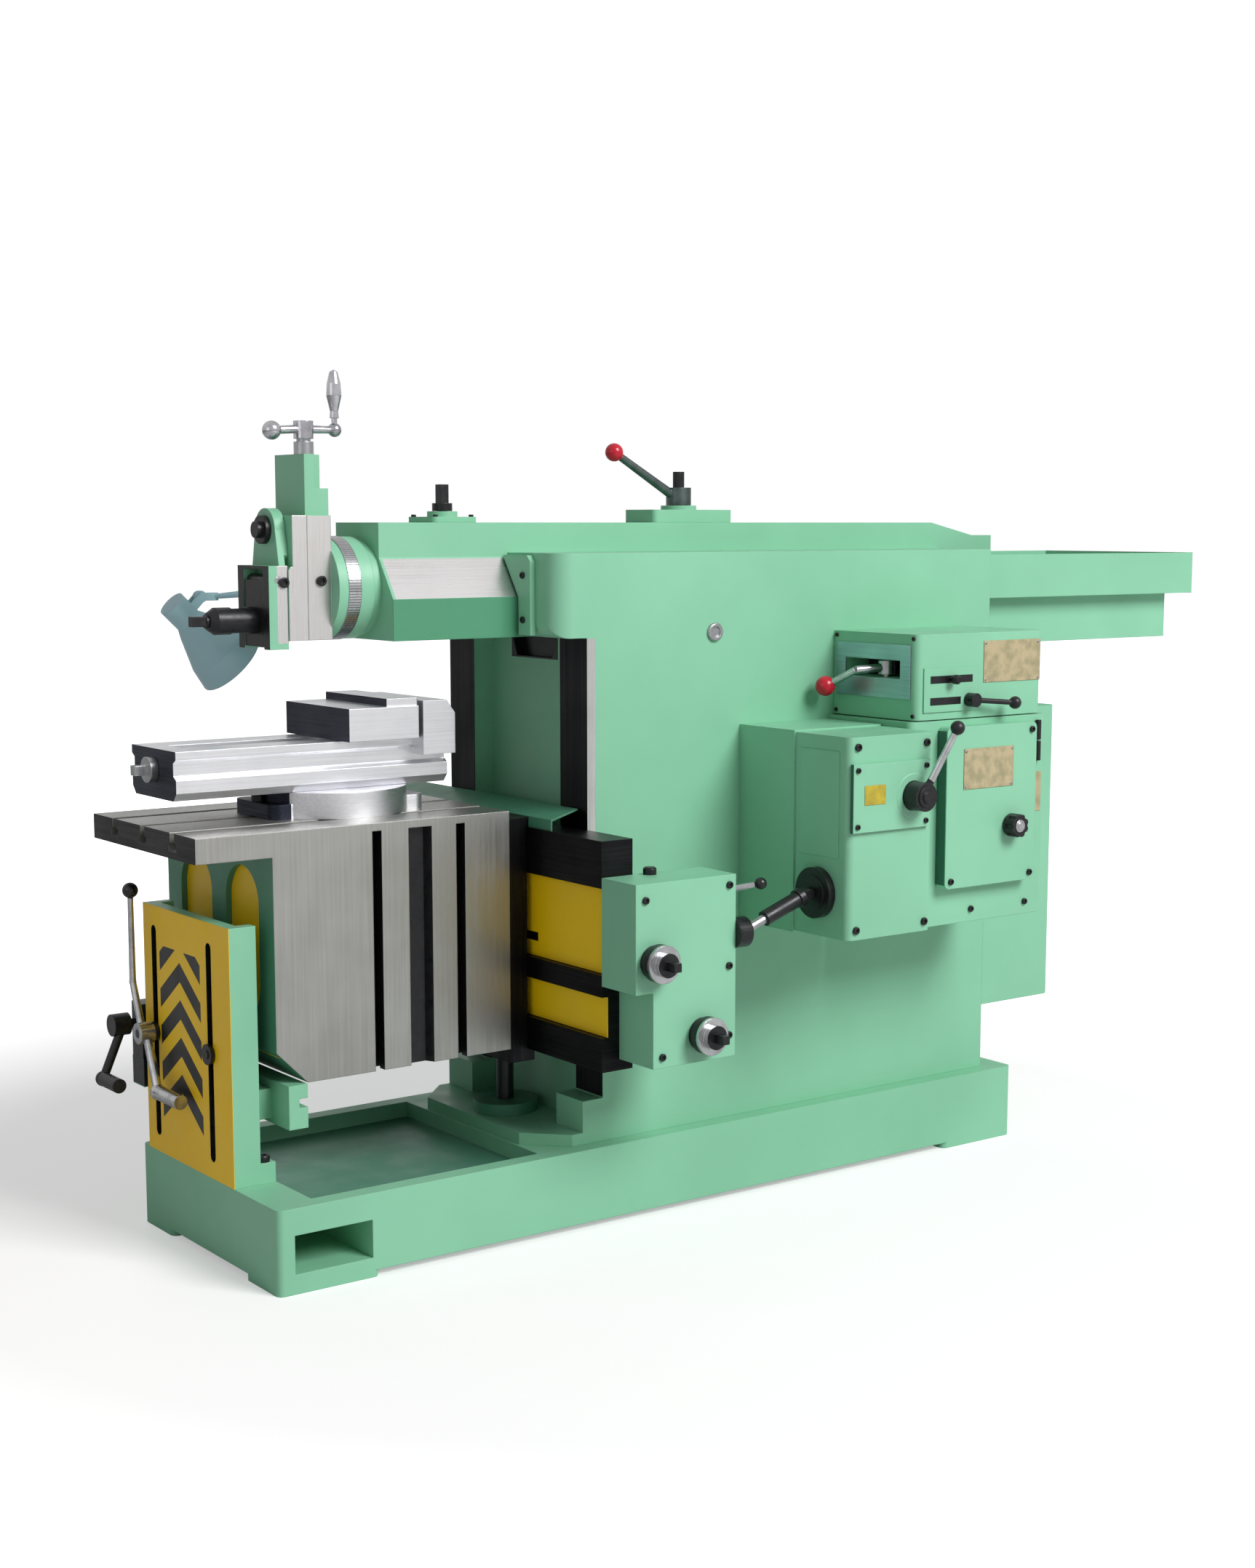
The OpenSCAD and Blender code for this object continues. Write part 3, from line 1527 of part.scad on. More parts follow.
module support_beam() {
    link_z0 = beam_z0 + 8;
    link_z1 = beam_z0 + 60;
    plate_x0 = support_x0 + support_t + slide_gap;
    color(paint)
        difference() {
            union() {
                block([beam_x0, table_near - 6, beam_z0], [beam_x1, table_far + 30, beam_z1]);
                block([plate_x0 + cut, support_y0 + 34, link_z0], [beam_x0 + cut, support_y1 - 34, link_z1]);
                // upright clamp plate behind the slots, and the arm beyond the far edge
                block([plate_x0, support_y0 + 28, link_z0 + cut], [plate_x0 + plate_t, support_y1 - 27, stud_z + 36]);
                block([support_x0 + 4, far_block_y - 24, link_z0], [beam_x0 + cut, far_block_y + 24, link_z1]);
            }
            block([beam_x1 - 16, table_near - 7, beam_z0 + 36], [beam_x1 + cut, table_far + 31, beam_z0 + 52]);
            for (y = [slot_y0, slot_y1])
                rod_x(support_x0, plate_x0 + plate_t + cut, y, stud_z, beam_stud_r);
        }
}

stud_z = beam_z0 + 124;
lever_out = 22;
crank_out = 32;
plate_t = 23;
beam_stud_r = support_slot_w / 2 - 2;
far_block_y = support_y1 + 48;

// Studs through the support's slots, and the block and stud beyond its far edge.
module beam_studs() {
    color(black) {
        for (y = [slot_y0, slot_y1]) {
            stud_out = y == slot_y0 ? 10 : lever_out + 14;
            rod_x(support_x0 - stud_out, support_x0 + support_t + plate_t, y, stud_z, beam_stud_r);
            rod_x(support_x0 - 8, support_x0 - slide_gap, y, stud_z, 18);
        }
        block([support_x0 + 4, far_block_y - 22, beam_z0 + 60], [support_x0 + 44, far_block_y + 22, stud_z + 36]);
        rod_x(support_x0 - crank_out - 14, support_x0 + 5, far_block_y, stud_z, beam_stud_r);
    }
}

// Clamp lever on the far stud: a bent rod up to a ball and an arm down to a grip.
module clamp_lever() {
    x = support_x0 - lever_out;
    y = slot_y1;
    bend = [x - 2, y + 40, stud_z + 86];
    ball = [x - 2, y + 40, stud_z + 250];
    grip = [x - 2, y - 54, stud_z - 96];
    color(steel) {
        difference() {
            rod_x(x - 14, x + 13, y, stud_z, 19);
            rod_x(x - 15, x + 14, y, stud_z, beam_stud_r + run_gap);
        }
        bar([x, y + 13, stud_z + 8], bend, 7, 6);
        translate(bend)
            sphere(6.5);
        bar(bend, ball, 6, 5);
        bar([x, y - 12, stud_z - 11], grip, 8, 8);
        translate(grip)
            sphere(14);
        rod_y(grip[1] - 90, grip[1], grip[0], grip[2], 13);
    }
    color(black)
        translate(ball)
            sphere(14);
}

// Clamp crank on the far block with a turned grip.
module clamp_crank() {
    x = support_x0 - crank_out;
    y = far_block_y;
    grip = [x - 36, y - 10, stud_z - 92];
    color(black) {
        difference() {
            rod_x(x - 14, x + 18, y, stud_z, 20);
            rod_x(x - 15, x + 19, y, stud_z, beam_stud_r + run_gap);
        }
        bar([x, y - 5, stud_z - 15], grip, 8, 8);
        translate(grip)
            sphere(14);
        rod_y(grip[1] - 70, grip[1], grip[0], grip[2], 13);
    }
}

base();
column();
rocker_pivot();
ram_gibs();
ram_wipers();
rear_guard();
gearbox();
gearbox_cover();
shift_lever();
control_box();
clutch_lever();
gate_lever();
drive_box();
drive_cover();
drive_knob();
motor_cover();
feed_disc();
feed_shaft_outer();
feed_shaft_inner();
pinion();
bull_gear();
rocker_arm();
slide_block();
ram();
ram_position_shaft();
position_plate();
ram_clamp_block();
ram_clamp_stud();
ram_clamp_lever();
lamp_arm();
lamp_shade();
swivel_head();
feed_screw();
feed_crank();
tool_slide();
clapper_box();
clapper_bolt();
clapper_pin();
clapper();
tool_post();
cross_rail();
elevating_foot();
elevating_screw();
feed_box();
cross_screw();
lift_shaft();
feed_lever();
chip_guard();
saddle();
feed_nut();
table();
vise_base();
vise_body();
vise_jaw();
vise_screw();
front_support();
support_beam();
beam_studs();
clamp_lever();
clamp_crank();
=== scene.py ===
import math

import bmesh
import bpy
from mathutils import Matrix, Vector


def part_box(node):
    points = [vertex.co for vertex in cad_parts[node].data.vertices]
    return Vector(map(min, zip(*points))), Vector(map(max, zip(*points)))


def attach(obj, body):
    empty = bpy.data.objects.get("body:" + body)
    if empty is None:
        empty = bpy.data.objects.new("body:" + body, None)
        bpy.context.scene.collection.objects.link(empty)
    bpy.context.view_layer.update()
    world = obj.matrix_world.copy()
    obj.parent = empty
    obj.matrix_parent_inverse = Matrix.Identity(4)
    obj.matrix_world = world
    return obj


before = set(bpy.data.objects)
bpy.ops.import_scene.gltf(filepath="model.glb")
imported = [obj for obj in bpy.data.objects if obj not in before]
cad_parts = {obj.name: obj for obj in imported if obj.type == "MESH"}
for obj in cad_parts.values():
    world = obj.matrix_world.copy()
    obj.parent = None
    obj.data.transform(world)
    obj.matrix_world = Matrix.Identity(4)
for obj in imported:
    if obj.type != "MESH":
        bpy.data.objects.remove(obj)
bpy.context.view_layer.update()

# Base casting
# One long grey-iron casting with a chip tray and a lifting tunnel, filled, rubbed down and sprayed
# with machine enamel; the whole machine stands on its low pads.


def linear(code):
    """An sRGB hex colour as linear red, green, blue and alpha."""
    parts = [int(code[i:i + 2], 16) / 255 for i in (1, 3, 5)]
    return [p / 12.92 if p <= 0.04045 else ((p + 0.055) / 1.055) ** 2.4 for p in parts] + [1.0]


def add_node(tree, kind, inputs, **settings):
    """Adds one shader node with its settings, and links or sets its inputs."""
    node = tree.nodes.new("ShaderNode" + kind)
    for name, value in settings.items():
        setattr(node, name, value)
    for key, value in inputs.items():
        if isinstance(value, bpy.types.NodeSocket):
            tree.links.new(value, node.inputs[key])
        else:
            node.inputs[key].default_value = value
    return node


def enamel(code, shade):
    """Sprayed machine enamel: slow drift of colour, fine orange peel and a soft satin gloss."""
    drift_size = 0.45
    smear_size = 0.06
    # real orange peel is about 2 mm wide; it is drawn coarser so that it shows
    peel_size = 0.006

    def coat(tree, place):
        drift = add_node(tree, "TexNoise", {"Vector": place, "Scale": 1 / drift_size, "Detail": 4.0})
        smears = add_node(tree, "TexNoise", {"Vector": place, "Scale": 1 / smear_size, "Detail": 5.0})
        peel = add_node(tree, "TexNoise", {"Vector": place, "Scale": 1 / peel_size, "Detail": 1.0})
        blend = add_node(tree, "MapRange", {0: drift.outputs["Fac"], 1: 0.35, 2: 0.7})
        colour = add_node(tree, "Mix", {0: blend.outputs[0], 6: linear(code), 7: linear(shade)},
                          data_type="RGBA")
        rough = add_node(tree, "MapRange", {0: smears.outputs["Fac"], 1: 0.3, 2: 0.7, 3: 0.34, 4: 0.5})
        height = add_node(tree, "Math", {0: peel.outputs["Fac"], 1: 0.05}, operation="MULTIPLY")
        return colour.outputs[2], rough.outputs[0], 0.0, height.outputs[0]
    return coat


def surface(name, first, *over):
    """One shader from a first finish and any finishes laid over it inside their masks."""
    material = bpy.data.materials.new(name)
    material.use_nodes = True
    tree = material.node_tree
    shader = tree.nodes["Principled BSDF"]
    seat = add_node(tree, "TexCoord", {})
    look = list(first(tree, seat.outputs["Object"]))
    for coat, mask in over:
        cover = mask(tree, seat)
        top = coat(tree, seat.outputs["Object"])
        colour = add_node(tree, "Mix", {0: cover, 6: look[0], 7: top[0]}, data_type="RGBA")
        look[0] = colour.outputs[2]
        for k in (1, 2, 3):
            if isinstance(look[k], float) and look[k] == top[k]:
                continue
            value = add_node(tree, "Mix", {0: cover, 2: look[k], 3: top[k]}, data_type="FLOAT")
            look[k] = value.outputs[0]
    # the rounded arris that every casting and plate has, about 2 mm wide
    arris = add_node(tree, "Bevel", {"Radius": 0.002}, samples=4)
    relief = add_node(tree, "Bump", {"Height": look[3], "Normal": arris.outputs[0], "Distance": 0.001})
    for key, value in (("Base Color", look[0]), ("Roughness", look[1]), ("Metallic", look[2])):
        if isinstance(value, bpy.types.NodeSocket):
            tree.links.new(value, shader.inputs[key])
        else:
            shader.inputs[key].default_value = value
    tree.links.new(relief.outputs[0], shader.inputs["Normal"])
    return material


def dress(material, *names):
    """Gives a finish to CAD nodes."""
    for name in names:
        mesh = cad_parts[name].data
        mesh.materials.clear()
        mesh.materials.append(material)


def within(low, high):
    """Mask of a box between two corners, in millimetres."""
    middle = [(a + b) / 2000 for a, b in zip(low, high)]
    half = [(b - a) / 2000 for a, b in zip(low, high)]

    def mask(tree, seat):
        offset = add_node(tree, "VectorMath", {0: seat.outputs["Object"], 1: middle}, operation="SUBTRACT")
        away = add_node(tree, "VectorMath", {0: offset.outputs[0]}, operation="ABSOLUTE")
        over = add_node(tree, "VectorMath", {0: away.outputs[0], 1: half}, operation="SUBTRACT")
        axes = add_node(tree, "SeparateXYZ", {0: over.outputs[0]})
        flat = add_node(tree, "Math", {0: axes.outputs[0], 1: axes.outputs[1]}, operation="MAXIMUM")
        most = add_node(tree, "Math", {0: flat.outputs[0], 1: axes.outputs[2]}, operation="MAXIMUM")
        inside = add_node(tree, "Math", {0: most.outputs[0], 1: 0.0}, operation="LESS_THAN")
        return inside.outputs[0]
    return mask


# pale sea-green enamel over filled iron: satin, slightly cloudy, with broad soft highlights
green = enamel("#8AC9A7", "#7FBD9B")
green_enamel = surface("sea_green_machine_enamel", green)
# the floor of the tray is the same enamel painted darker: painted shade where the table shades it
tray_painted_shade = enamel("#4F8B73", "#447D66")
base_low, base_high = [corner * 1000 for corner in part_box("base")]
tray_front = 60
tray_wall = 30
tray_floor = base_high.z - 30
shaded_tray_floor = within((base_low.x + tray_front, base_low.y + tray_wall, tray_floor - 1),
                    (0, base_high.y - tray_wall, tray_floor + 0.5))
dress(surface("enamelled_base_with_painted_shade_in_tray", green, (tray_painted_shade, shaded_tray_floor)), "base")

# Column
# Tall cast box with the ram channel on top; its two vertical ways are planed and scraped bare iron,
# dark with oil, and a round oil sight is screwed into the operator's side.


def ground_metal(code, shade, grain, rough):
    """Machined metal: fine parallel tool lines; grain gives their length along X, Y and Z in metres."""
    # real tool lines are under 1 mm wide; most are drawn a few millimetres wide so that they show
    cloud_size = 0.12

    def coat(tree, place):
        spread = add_node(tree, "Mapping", {"Vector": place, "Scale": [1 / g for g in grain]})
        lines = add_node(tree, "TexNoise", {"Vector": spread.outputs[0], "Scale": 1.0, "Detail": 3.0})
        cloud = add_node(tree, "TexNoise", {"Vector": place, "Scale": 1 / cloud_size, "Detail": 3.0})
        both = add_node(tree, "Math", {0: lines.outputs["Fac"], 1: cloud.outputs["Fac"]}, operation="ADD")
        blend = add_node(tree, "MapRange", {0: both.outputs[0], 1: 0.75, 2: 1.25})
        colour = add_node(tree, "Mix", {0: blend.outputs[0], 6: linear(shade), 7: linear(code)},
                          data_type="RGBA")
        dull = add_node(tree, "MapRange",
                        {0: both.outputs[0], 1: 0.7, 2: 1.3, 3: rough + 0.08, 4: rough - 0.06})
        height = add_node(tree, "Math", {0: lines.outputs["Fac"], 1: 0.08}, operation="MULTIPLY")
        return colour.outputs[2], dull.outputs[0], 1.0, height.outputs[0]
    return coat


def black_oxide_and_painted_shade(tree, place):
    """Blackened steel: near black, slightly blotched, with an oily sheen; also laid on as painted shade in
    recesses and slots.
    """
    blotch_size = 0.012
    blotch = add_node(tree, "TexNoise", {"Vector": place, "Scale": 1 / blotch_size, "Detail": 4.0})
    colour = add_node(tree, "Mix", {0: blotch.outputs["Fac"], 6: linear("#141416"), 7: linear("#2A2A2D")},
                      data_type="RGBA")
    rough = add_node(tree, "MapRange", {0: blotch.outputs["Fac"], 1: 0.3, 2: 0.7, 3: 0.26, 4: 0.42})
    height = add_node(tree, "Math", {0: blotch.outputs["Fac"], 1: 0.03}, operation="MULTIPLY")
    return colour.outputs[2], rough.outputs[0], 0.35, height.outputs[0]


# scraped iron, dark with oil: faint streaks run up and down
way_iron = ground_metal("#2B2B2E", "#19191B", (0.004, 0.004, 0.3), 0.42)
# the planed edge of the near way, wiped clean: one narrow bright line
clean_edge = ground_metal("#D8D8D6", "#B8B8B6", (0.004, 0.004, 0.3), 0.34)
side = 227
ways_x = -202
ways_foot = 300
heel_foot = 228
nose_low = 1056
pocket_half = 76
pocket_h = 46
column_finish = surface(
    "enamelled_column_with_bare_ways", green,
    (way_iron, within((ways_x - 2, -side + 0.3, ways_foot), (ways_x + 1, side - 0.3, nose_low))),
    (way_iron, within((ways_x - 2, -side + 0.3, heel_foot), (ways_x + 34, side - 0.3, ways_foot + 1))),
    (clean_edge, within((ways_x - 1, -side - 1, ways_foot - 9), (ways_x + 18, -side + 0.2, nose_low))),
    # the recess under the nose is painted black: painted shade in the recess
    (black_oxide_and_painted_shade, within((-160.5, -pocket_half, nose_low - pocket_h), (-141, pocket_half, nose_low))))
dress(column_finish, "column")


def at(x, y, z):
    """A point given in millimetres."""
    return Vector((x, y, z)) / 1000


def turned(shape, outline, spot, facing, steps=40):
    """Spins an outline of (radius, height) pairs, in millimetres, round an axis through a spot."""
    turn = Vector((0, 0, 1)).rotation_difference(Vector(facing)).to_matrix().to_4x4()
    known = set(shape.verts)
    line = [shape.verts.new(at(r, 0, h)) for r, h in outline]
    edges = [shape.edges.new(pair) for pair in zip(line, line[1:])]
    bmesh.ops.spin(shape, geom=line + edges, cent=(0, 0, 0), axis=(0, 0, 1), angle=2 * math.pi, steps=steps,
                   use_merge=True)
    bmesh.ops.remove_doubles(shape, verts=[v for v in shape.verts if v not in known], dist=1e-6)
    fresh = [v for v in shape.verts if v not in known]
    bmesh.ops.transform(shape, matrix=Matrix.Translation(spot) @ turn, verts=fresh)


def fit(name, shape, material, body):
    """Makes an object of a finished bmesh and lets it ride on a body."""
    bmesh.ops.recalc_face_normals(shape, faces=shape.faces)
    mesh = bpy.data.meshes.new(name)
    shape.to_mesh(mesh)
    shape.free()
    mesh.materials.append(material)
    part = bpy.data.objects.new(name, mesh)
    bpy.context.scene.collection.objects.link(part)
    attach(part, body)


STEEL = "#C9C9CB"
STEEL_SHADE = "#9FA0A3"
# turned steel: pale and clean, with fine rings that stretch the highlights
bright_steel = surface("turned_steel", ground_metal(STEEL, STEEL_SHADE, (0.02, 0.001, 0.001), 0.28))
near_side = (0, -1, 0)
sight = bmesh.new()
sight_outline = [(0, 2.5), (9, 2.5), (10, 6), (15, 6), (17, 4), (17, 0), (0, 0)]
turned(sight, sight_outline, at(83, -side, 1060), near_side)
fit("oil_sight", sight, bright_steel, "frame")

# Gibs and wiper plates of the ram
# Long cast keeps bolted on top of the column hold the dovetail down; the felt wipers at the nose sit
# behind two small plates, each held by two socket screws.

# blackened steel: near black, with an oily sheen on its edges; the same black also stands as painted shade in
# slots
black_steel_and_painted_shade = surface("blackened_steel", black_oxide_and_painted_shade)


def screws(name, spots, facing, radius, height, body="frame", material=black_steel_and_painted_shade):
    """Socket-head screws on given spots, all turned one way; sizes in millimetres."""
    head = [(0, height * 0.35), (radius * 0.5, height * 0.35), (radius * 0.52, height),
            (radius * 0.86, height), (radius, height * 0.8), (radius, 0), (0, 0)]
    shape = bmesh.new()
    for spot in spots:
        turned(shape, head, spot, facing, steps=16)
    fit(name, shape, material, body)


dress(green_enamel, "ram_gibs", "ram_wipers")
wiper_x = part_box("ram_wipers")[0].x * 1000
front_side = (-1, 0, 0)
wiper_spots = [at(wiper_x, s * 140, z) for s in (-1, 1) for z in (1088, 1166)]
screws("wiper_screws", wiper_spots, front_side, 6, 4)

# Guard behind the column
# A trough of folded sheet that the tail of the ram runs into, spot-welded and screwed to the column.

dress(green_enamel, "rear_guard")

# Gearbox with its cover and speed lever
# Cast box and thick cover joined on a split line; a square plate with a collar round the lever hub is
# held by four socket screws, and a small blank label is glued beside the hub.


def slab(shape, low, high, soften):
    """A box between two corners with softened edges, in millimetres."""
    low, high = at(*low), at(*high)
    size = Matrix.Diagonal((*(high - low), 1.0))
    made = bmesh.ops.create_cube(shape, size=1.0, matrix=Matrix.Translation((low + high) / 2) @ size)
    edges = list({e for v in made["verts"] for e in v.link_edges})
    bmesh.ops.bevel(shape, geom=edges, offset=soften / 1000, segments=2, profile=0.5, affect="EDGES",
                    material=-1)


def on_near_face(y):
    """Seat for a plate drawn flat: across is X, up is Z and it stands out towards the operator."""
    turn = Matrix(((1, 0, 0, 0), (0, 0, -1, 0), (0, 1, 0, 0), (0, 0, 0, 1)))
    return Matrix.Translation(at(0, y, 0)) @ turn


def windowed(shape, low, high, gap_low, gap_high, thick, seat):
    """A plate with one square opening, drawn flat in millimetres and set on a seat."""
    across = (low[0], gap_low[0], gap_high[0], high[0])
    up = (low[1], gap_low[1], gap_high[1], high[1])
    made = bmesh.ops.create_grid(shape, x_segments=3, y_segments=3, size=1.5)
    for v in made["verts"]:
        v.co = at(across[round(v.co.x + 1.5)], up[round(v.co.y + 1.5)], 0)
    middle = [f for f in shape.faces if all(len(v.link_faces) == 4 for v in f.verts)]
    bmesh.ops.delete(shape, geom=middle, context="FACES_ONLY")
    grown = bmesh.ops.extrude_face_region(shape, geom=shape.faces[:], use_keep_orig=True)
    raised = [v for v in grown["geom"] if isinstance(v, bmesh.types.BMVert)]
    bmesh.ops.translate(shape, vec=at(0, 0, thick), verts=raised)
    bmesh.ops.transform(shape, matrix=seat, verts=shape.verts)


def ball_at(spot, radius):
    """Mask of everything inside a sphere, in millimetres."""
    def mask(tree, seat):
        gap = add_node(tree, "VectorMath", {0: seat.outputs["Object"], 1: at(*spot)}, operation="DISTANCE")
        inside = add_node(tree, "Math", {0: gap.outputs["Value"], 1: radius / 1000}, operation="LESS_THAN")
        return inside.outputs[0]
    return mask


def foil(code, stain):
    """Thin foil or aluminium plate left bare: faint blotches and a dull shine."""
    blotch_size = 0.02

    def coat(tree, place):
        blotch = add_node(tree, "TexNoise", {"Vector": place, "Scale": 1 / blotch_size, "Detail": 6.0})
        patch = add_node(tree, "MapRange", {0: blotch.outputs["Fac"], 1: 0.38, 2: 0.62})
        colour = add_node(tree, "Mix", {0: patch.outputs[0], 6: linear(code), 7: linear(stain)},
                          data_type="RGBA")
        rough = add_node(tree, "MapRange", {0: blotch.outputs["Fac"], 1: 0.3, 2: 0.7, 3: 0.3, 4: 0.46})
        height = add_node(tree, "Math", {0: blotch.outputs["Fac"], 1: 0.02}, operation="MULTIPLY")
        return colour.outputs[2], rough.outputs[0], 0.25, height.outputs[0]
    return coat


dress(green_enamel, "gearbox", "gearbox_cover")
cover_low, cover_high = [corner * 1000 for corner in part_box("gearbox_cover")]
hub_x, hub_z = 293, 774
hub_room = 27
collar_w = 13
plate_thick = 8
plate_x0, plate_x1 = cover_low.x + 3, cover_high.x - 16
plate_z0, plate_z1 = 716, 838
plate_face = cover_low.y - plate_thick
lever_plate = bmesh.new()
windowed(lever_plate, (plate_x0, plate_z0), (plate_x1, plate_z1), (hub_x - hub_room, hub_z - hub_room),
         (hub_x + hub_room, hub_z + hub_room), plate_thick, on_near_face(cover_low.y))
collar = [(hub_room, 0), (hub_room, plate_thick + 1), (hub_room + collar_w - 1, plate_thick + 1),
          (hub_room + collar_w, plate_thick), (hub_room + collar_w, 0), (hub_room, 0)]
turned(lever_plate, collar, at(hub_x, cover_low.y, hub_z), near_side, steps=48)
# the same enamel painted darker along the left and lower edges of a raised plate: painted shade
edge_painted_shade = enamel("#2C6350", "#235244")
rim_low = (cover_low.x, plate_face + 0.5, plate_z0 - 16)
plate_finish = surface("green_enamel_plate_with_painted_shade_rim", green,
                       (edge_painted_shade, within(rim_low, (plate_x0 + 0.5, cover_low.y, plate_z1 + 12))),
                       (edge_painted_shade, within(rim_low, (cover_high.x, cover_low.y, plate_z0 + 0.5))))
fit("speed_plate", lever_plate, plate_finish, "frame")
plate_spots = [at(x, plate_face, z) for x in (plate_x0 + 10, plate_x1 - 10)
               for z in (plate_z0 + 11, plate_z1 - 11)]
screws("speed_plate_screws", plate_spots, near_side, 5, 4)
cover_spots = [at(x, cover_low.y, z) for x in (cover_low.x + 19, cover_high.x - 19)
               for z in (cover_low.z + 18, cover_high.z - 18)]
screws("gearbox_cover_screws", cover_spots, near_side, 7, 5)
side_panel = bmesh.new()
slab(side_panel, (cover_low.x - 1.6, cover_low.y + 26, 668),
     (cover_low.x, cover_high.y - 14, cover_high.z - 26), 0.7)
fit("gearbox_side_panel", side_panel, green_enamel, "frame")
# yellow foil left blank: flat colour with faint stains
yellow_foil = surface("bare_yellow_foil", foil("#C9B53A", "#AE9C38"))
yellow_label = bmesh.new()
slab(yellow_label, (176, plate_face - 0.8, 764), (226, plate_face, 799), 0.3)
fit("blank_yellow_label", yellow_label, yellow_foil, "frame")
# drawn steel rod: bright, with soft marks all over
lever_steel = ground_metal(STEEL, STEEL_SHADE, (0.02, 0.02, 0.02), 0.24)
hub_out = 42
lever_tip = (hub_x + 58, cover_low.y - 58, hub_z + 122)
dress(surface("speed_lever_with_black_hub", lever_steel,
              (black_oxide_and_painted_shade, ball_at((hub_x, cover_low.y - 24, hub_z), 36)),
              (black_oxide_and_painted_shade, ball_at(lever_tip, 14))), "shift_lever")
hub_cap = bmesh.new()
hub_cap_outline = [(0, 6), (9, 6), (11, 4), (11, 2.5), (18, 2.5), (19, 1.5), (19, 0), (0, 0)]
turned(hub_cap, hub_cap_outline, at(hub_x, cover_low.y - hub_out, hub_z), near_side, steps=32)
fit("speed_hub_cap", hub_cap, black_steel_and_painted_shade, "speed_lever")

# Control box with the clutch lever and the gate lever
# Cast box; a dull plate with a long slot guides the clutch lever, whose ball is red plastic, and a small
# plate with two black slots on the near side carries the gate lever, with a bare data plate beside it.


def phenolic(code, shade):
    """Moulded ball-knob plastic: even colour, high gloss, faint flow marks."""
    flow_size = 0.015

    def coat(tree, place):
        flow = add_node(tree, "TexNoise", {"Vector": place, "Scale": 1 / flow_size, "Detail": 2.0})
        colour = add_node(tree, "Mix", {0: flow.outputs["Fac"], 6: linear(code), 7: linear(shade)},
                          data_type="RGBA")
        rough = add_node(tree, "MapRange", {0: flow.outputs["Fac"], 1: 0.3, 2: 0.7, 3: 0.16, 4: 0.26})
        height = add_node(tree, "Math", {0: flow.outputs["Fac"], 1: 0.01}, operation="MULTIPLY")
        return colour.outputs[2], rough.outputs[0], 0.0, height.outputs[0]
    return coat


dress(green_enamel, "control_box")
box_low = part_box("control_box")[0] * 1000
clutch_y, clutch_z = -337, box_low.z + 92
slot_half_w, slot_half_h = 75, 17
facing_front = Matrix(((0, 0, -1, 0), (1, 0, 0, 0), (0, 1, 0, 0), (0, 0, 0, 1)))
on_front = Matrix.Translation(at(box_low.x, 0, 0)) @ facing_front
slot_plate = bmesh.new()
windowed(slot_plate, (clutch_y - 101, clutch_z - 54), (clutch_y + 99, clutch_z + 46),
         (clutch_y - slot_half_w, clutch_z - slot_half_h), (clutch_y + slot_half_w, clutch_z + slot_half_h),
         3, on_front)
# zinc-grey guide plate: dull, brushed sideways
dull_plate = surface("dull_guide_plate", ground_metal("#B4C4CE", "#93A4AE", (0.02, 0.2, 0.001), 0.36))
fit("clutch_slot_plate", slot_plate, dull_plate, "frame")
# a black sheet at the back of the slot: painted shade inside the slot
dark_slot = bmesh.new()
slab(dark_slot, (box_low.x + 56, clutch_y - slot_half_w + 0.5, clutch_z - slot_half_h + 0.5),
     (box_low.x + 61.5, clutch_y + slot_half_w - 0.5, clutch_z + slot_half_h - 0.5), 0.5)
fit("clutch_slot_back", dark_slot, black_steel_and_painted_shade, "frame")
# red moulded plastic: full colour and a sharp small highlight
red_ball = phenolic("#CE1030", "#B80C28")
clutch_ball = (box_low.x - 52, clutch_y + 76, clutch_z - 36)
dress(surface("steel_lever_with_red_ball", lever_steel, (red_ball, ball_at(clutch_ball, 20))), "clutch_lever")
gate_x, gate_z = 507, box_low.z + 34
gate_room = 9
gate_thick = 2.6
gate_face = box_low.y - gate_thick
knob_slot_z = box_low.z + 74
gate_plate = bmesh.new()
windowed(gate_plate, (392, box_low.z + 14), (532, box_low.z + 96), (gate_x - gate_room, gate_z - gate_room),
         (gate_x + gate_room, gate_z + gate_room), gate_thick, on_near_face(box_low.y))
fit("gate_plate", gate_plate, green_enamel, "frame")
# black strips on the plate stand for the two slots: painted shade in the slots
gate_slots = bmesh.new()
for z, end in ((knob_slot_z, 516), (gate_z, 486)):
    slab(gate_slots, (408, gate_face - 0.3, z - 7), (end, gate_face + 0.2, z + 7), 0.2)
fit("gate_slots", gate_slots, black_steel_and_painted_shade, "frame")
gate_knob = bmesh.new()
gate_knob_outline = [(0, 22), (6, 22), (9, 18), (9, 10), (4, 6), (4, 0), (0, 0)]
turned(gate_knob, gate_knob_outline, at(460, gate_face + 0.1, knob_slot_z), near_side, steps=24)
fit("gate_knob", gate_knob, black_steel_and_painted_shade, "frame")
# aged aluminium data plate without print: dull buff with darker blotches
bare_plate = surface("bare_aged_foil", foil("#C4B48F", "#A39A78"))
data_plate_thick = 1.5


def riveted_plate(place, low, high, face_y):
    """A bare data plate with a rivet near each corner on a near face; corners as (x, z) in millimetres."""
    inset = 5
    plate = bmesh.new()
    slab(plate, (low[0], face_y - data_plate_thick, low[1]), (high[0], face_y, high[1]), 0.5)
    fit(f"blank_{place}_plate", plate, bare_plate, "frame")
    spots = [at(x, face_y - data_plate_thick, z) for x in (low[0] + inset, high[0] - inset)
             for z in (low[1] + inset, high[1] - inset)]
    screws(f"{place}_plate_rivets", spots, near_side, 2.5, 1.6, "frame", bright_steel)


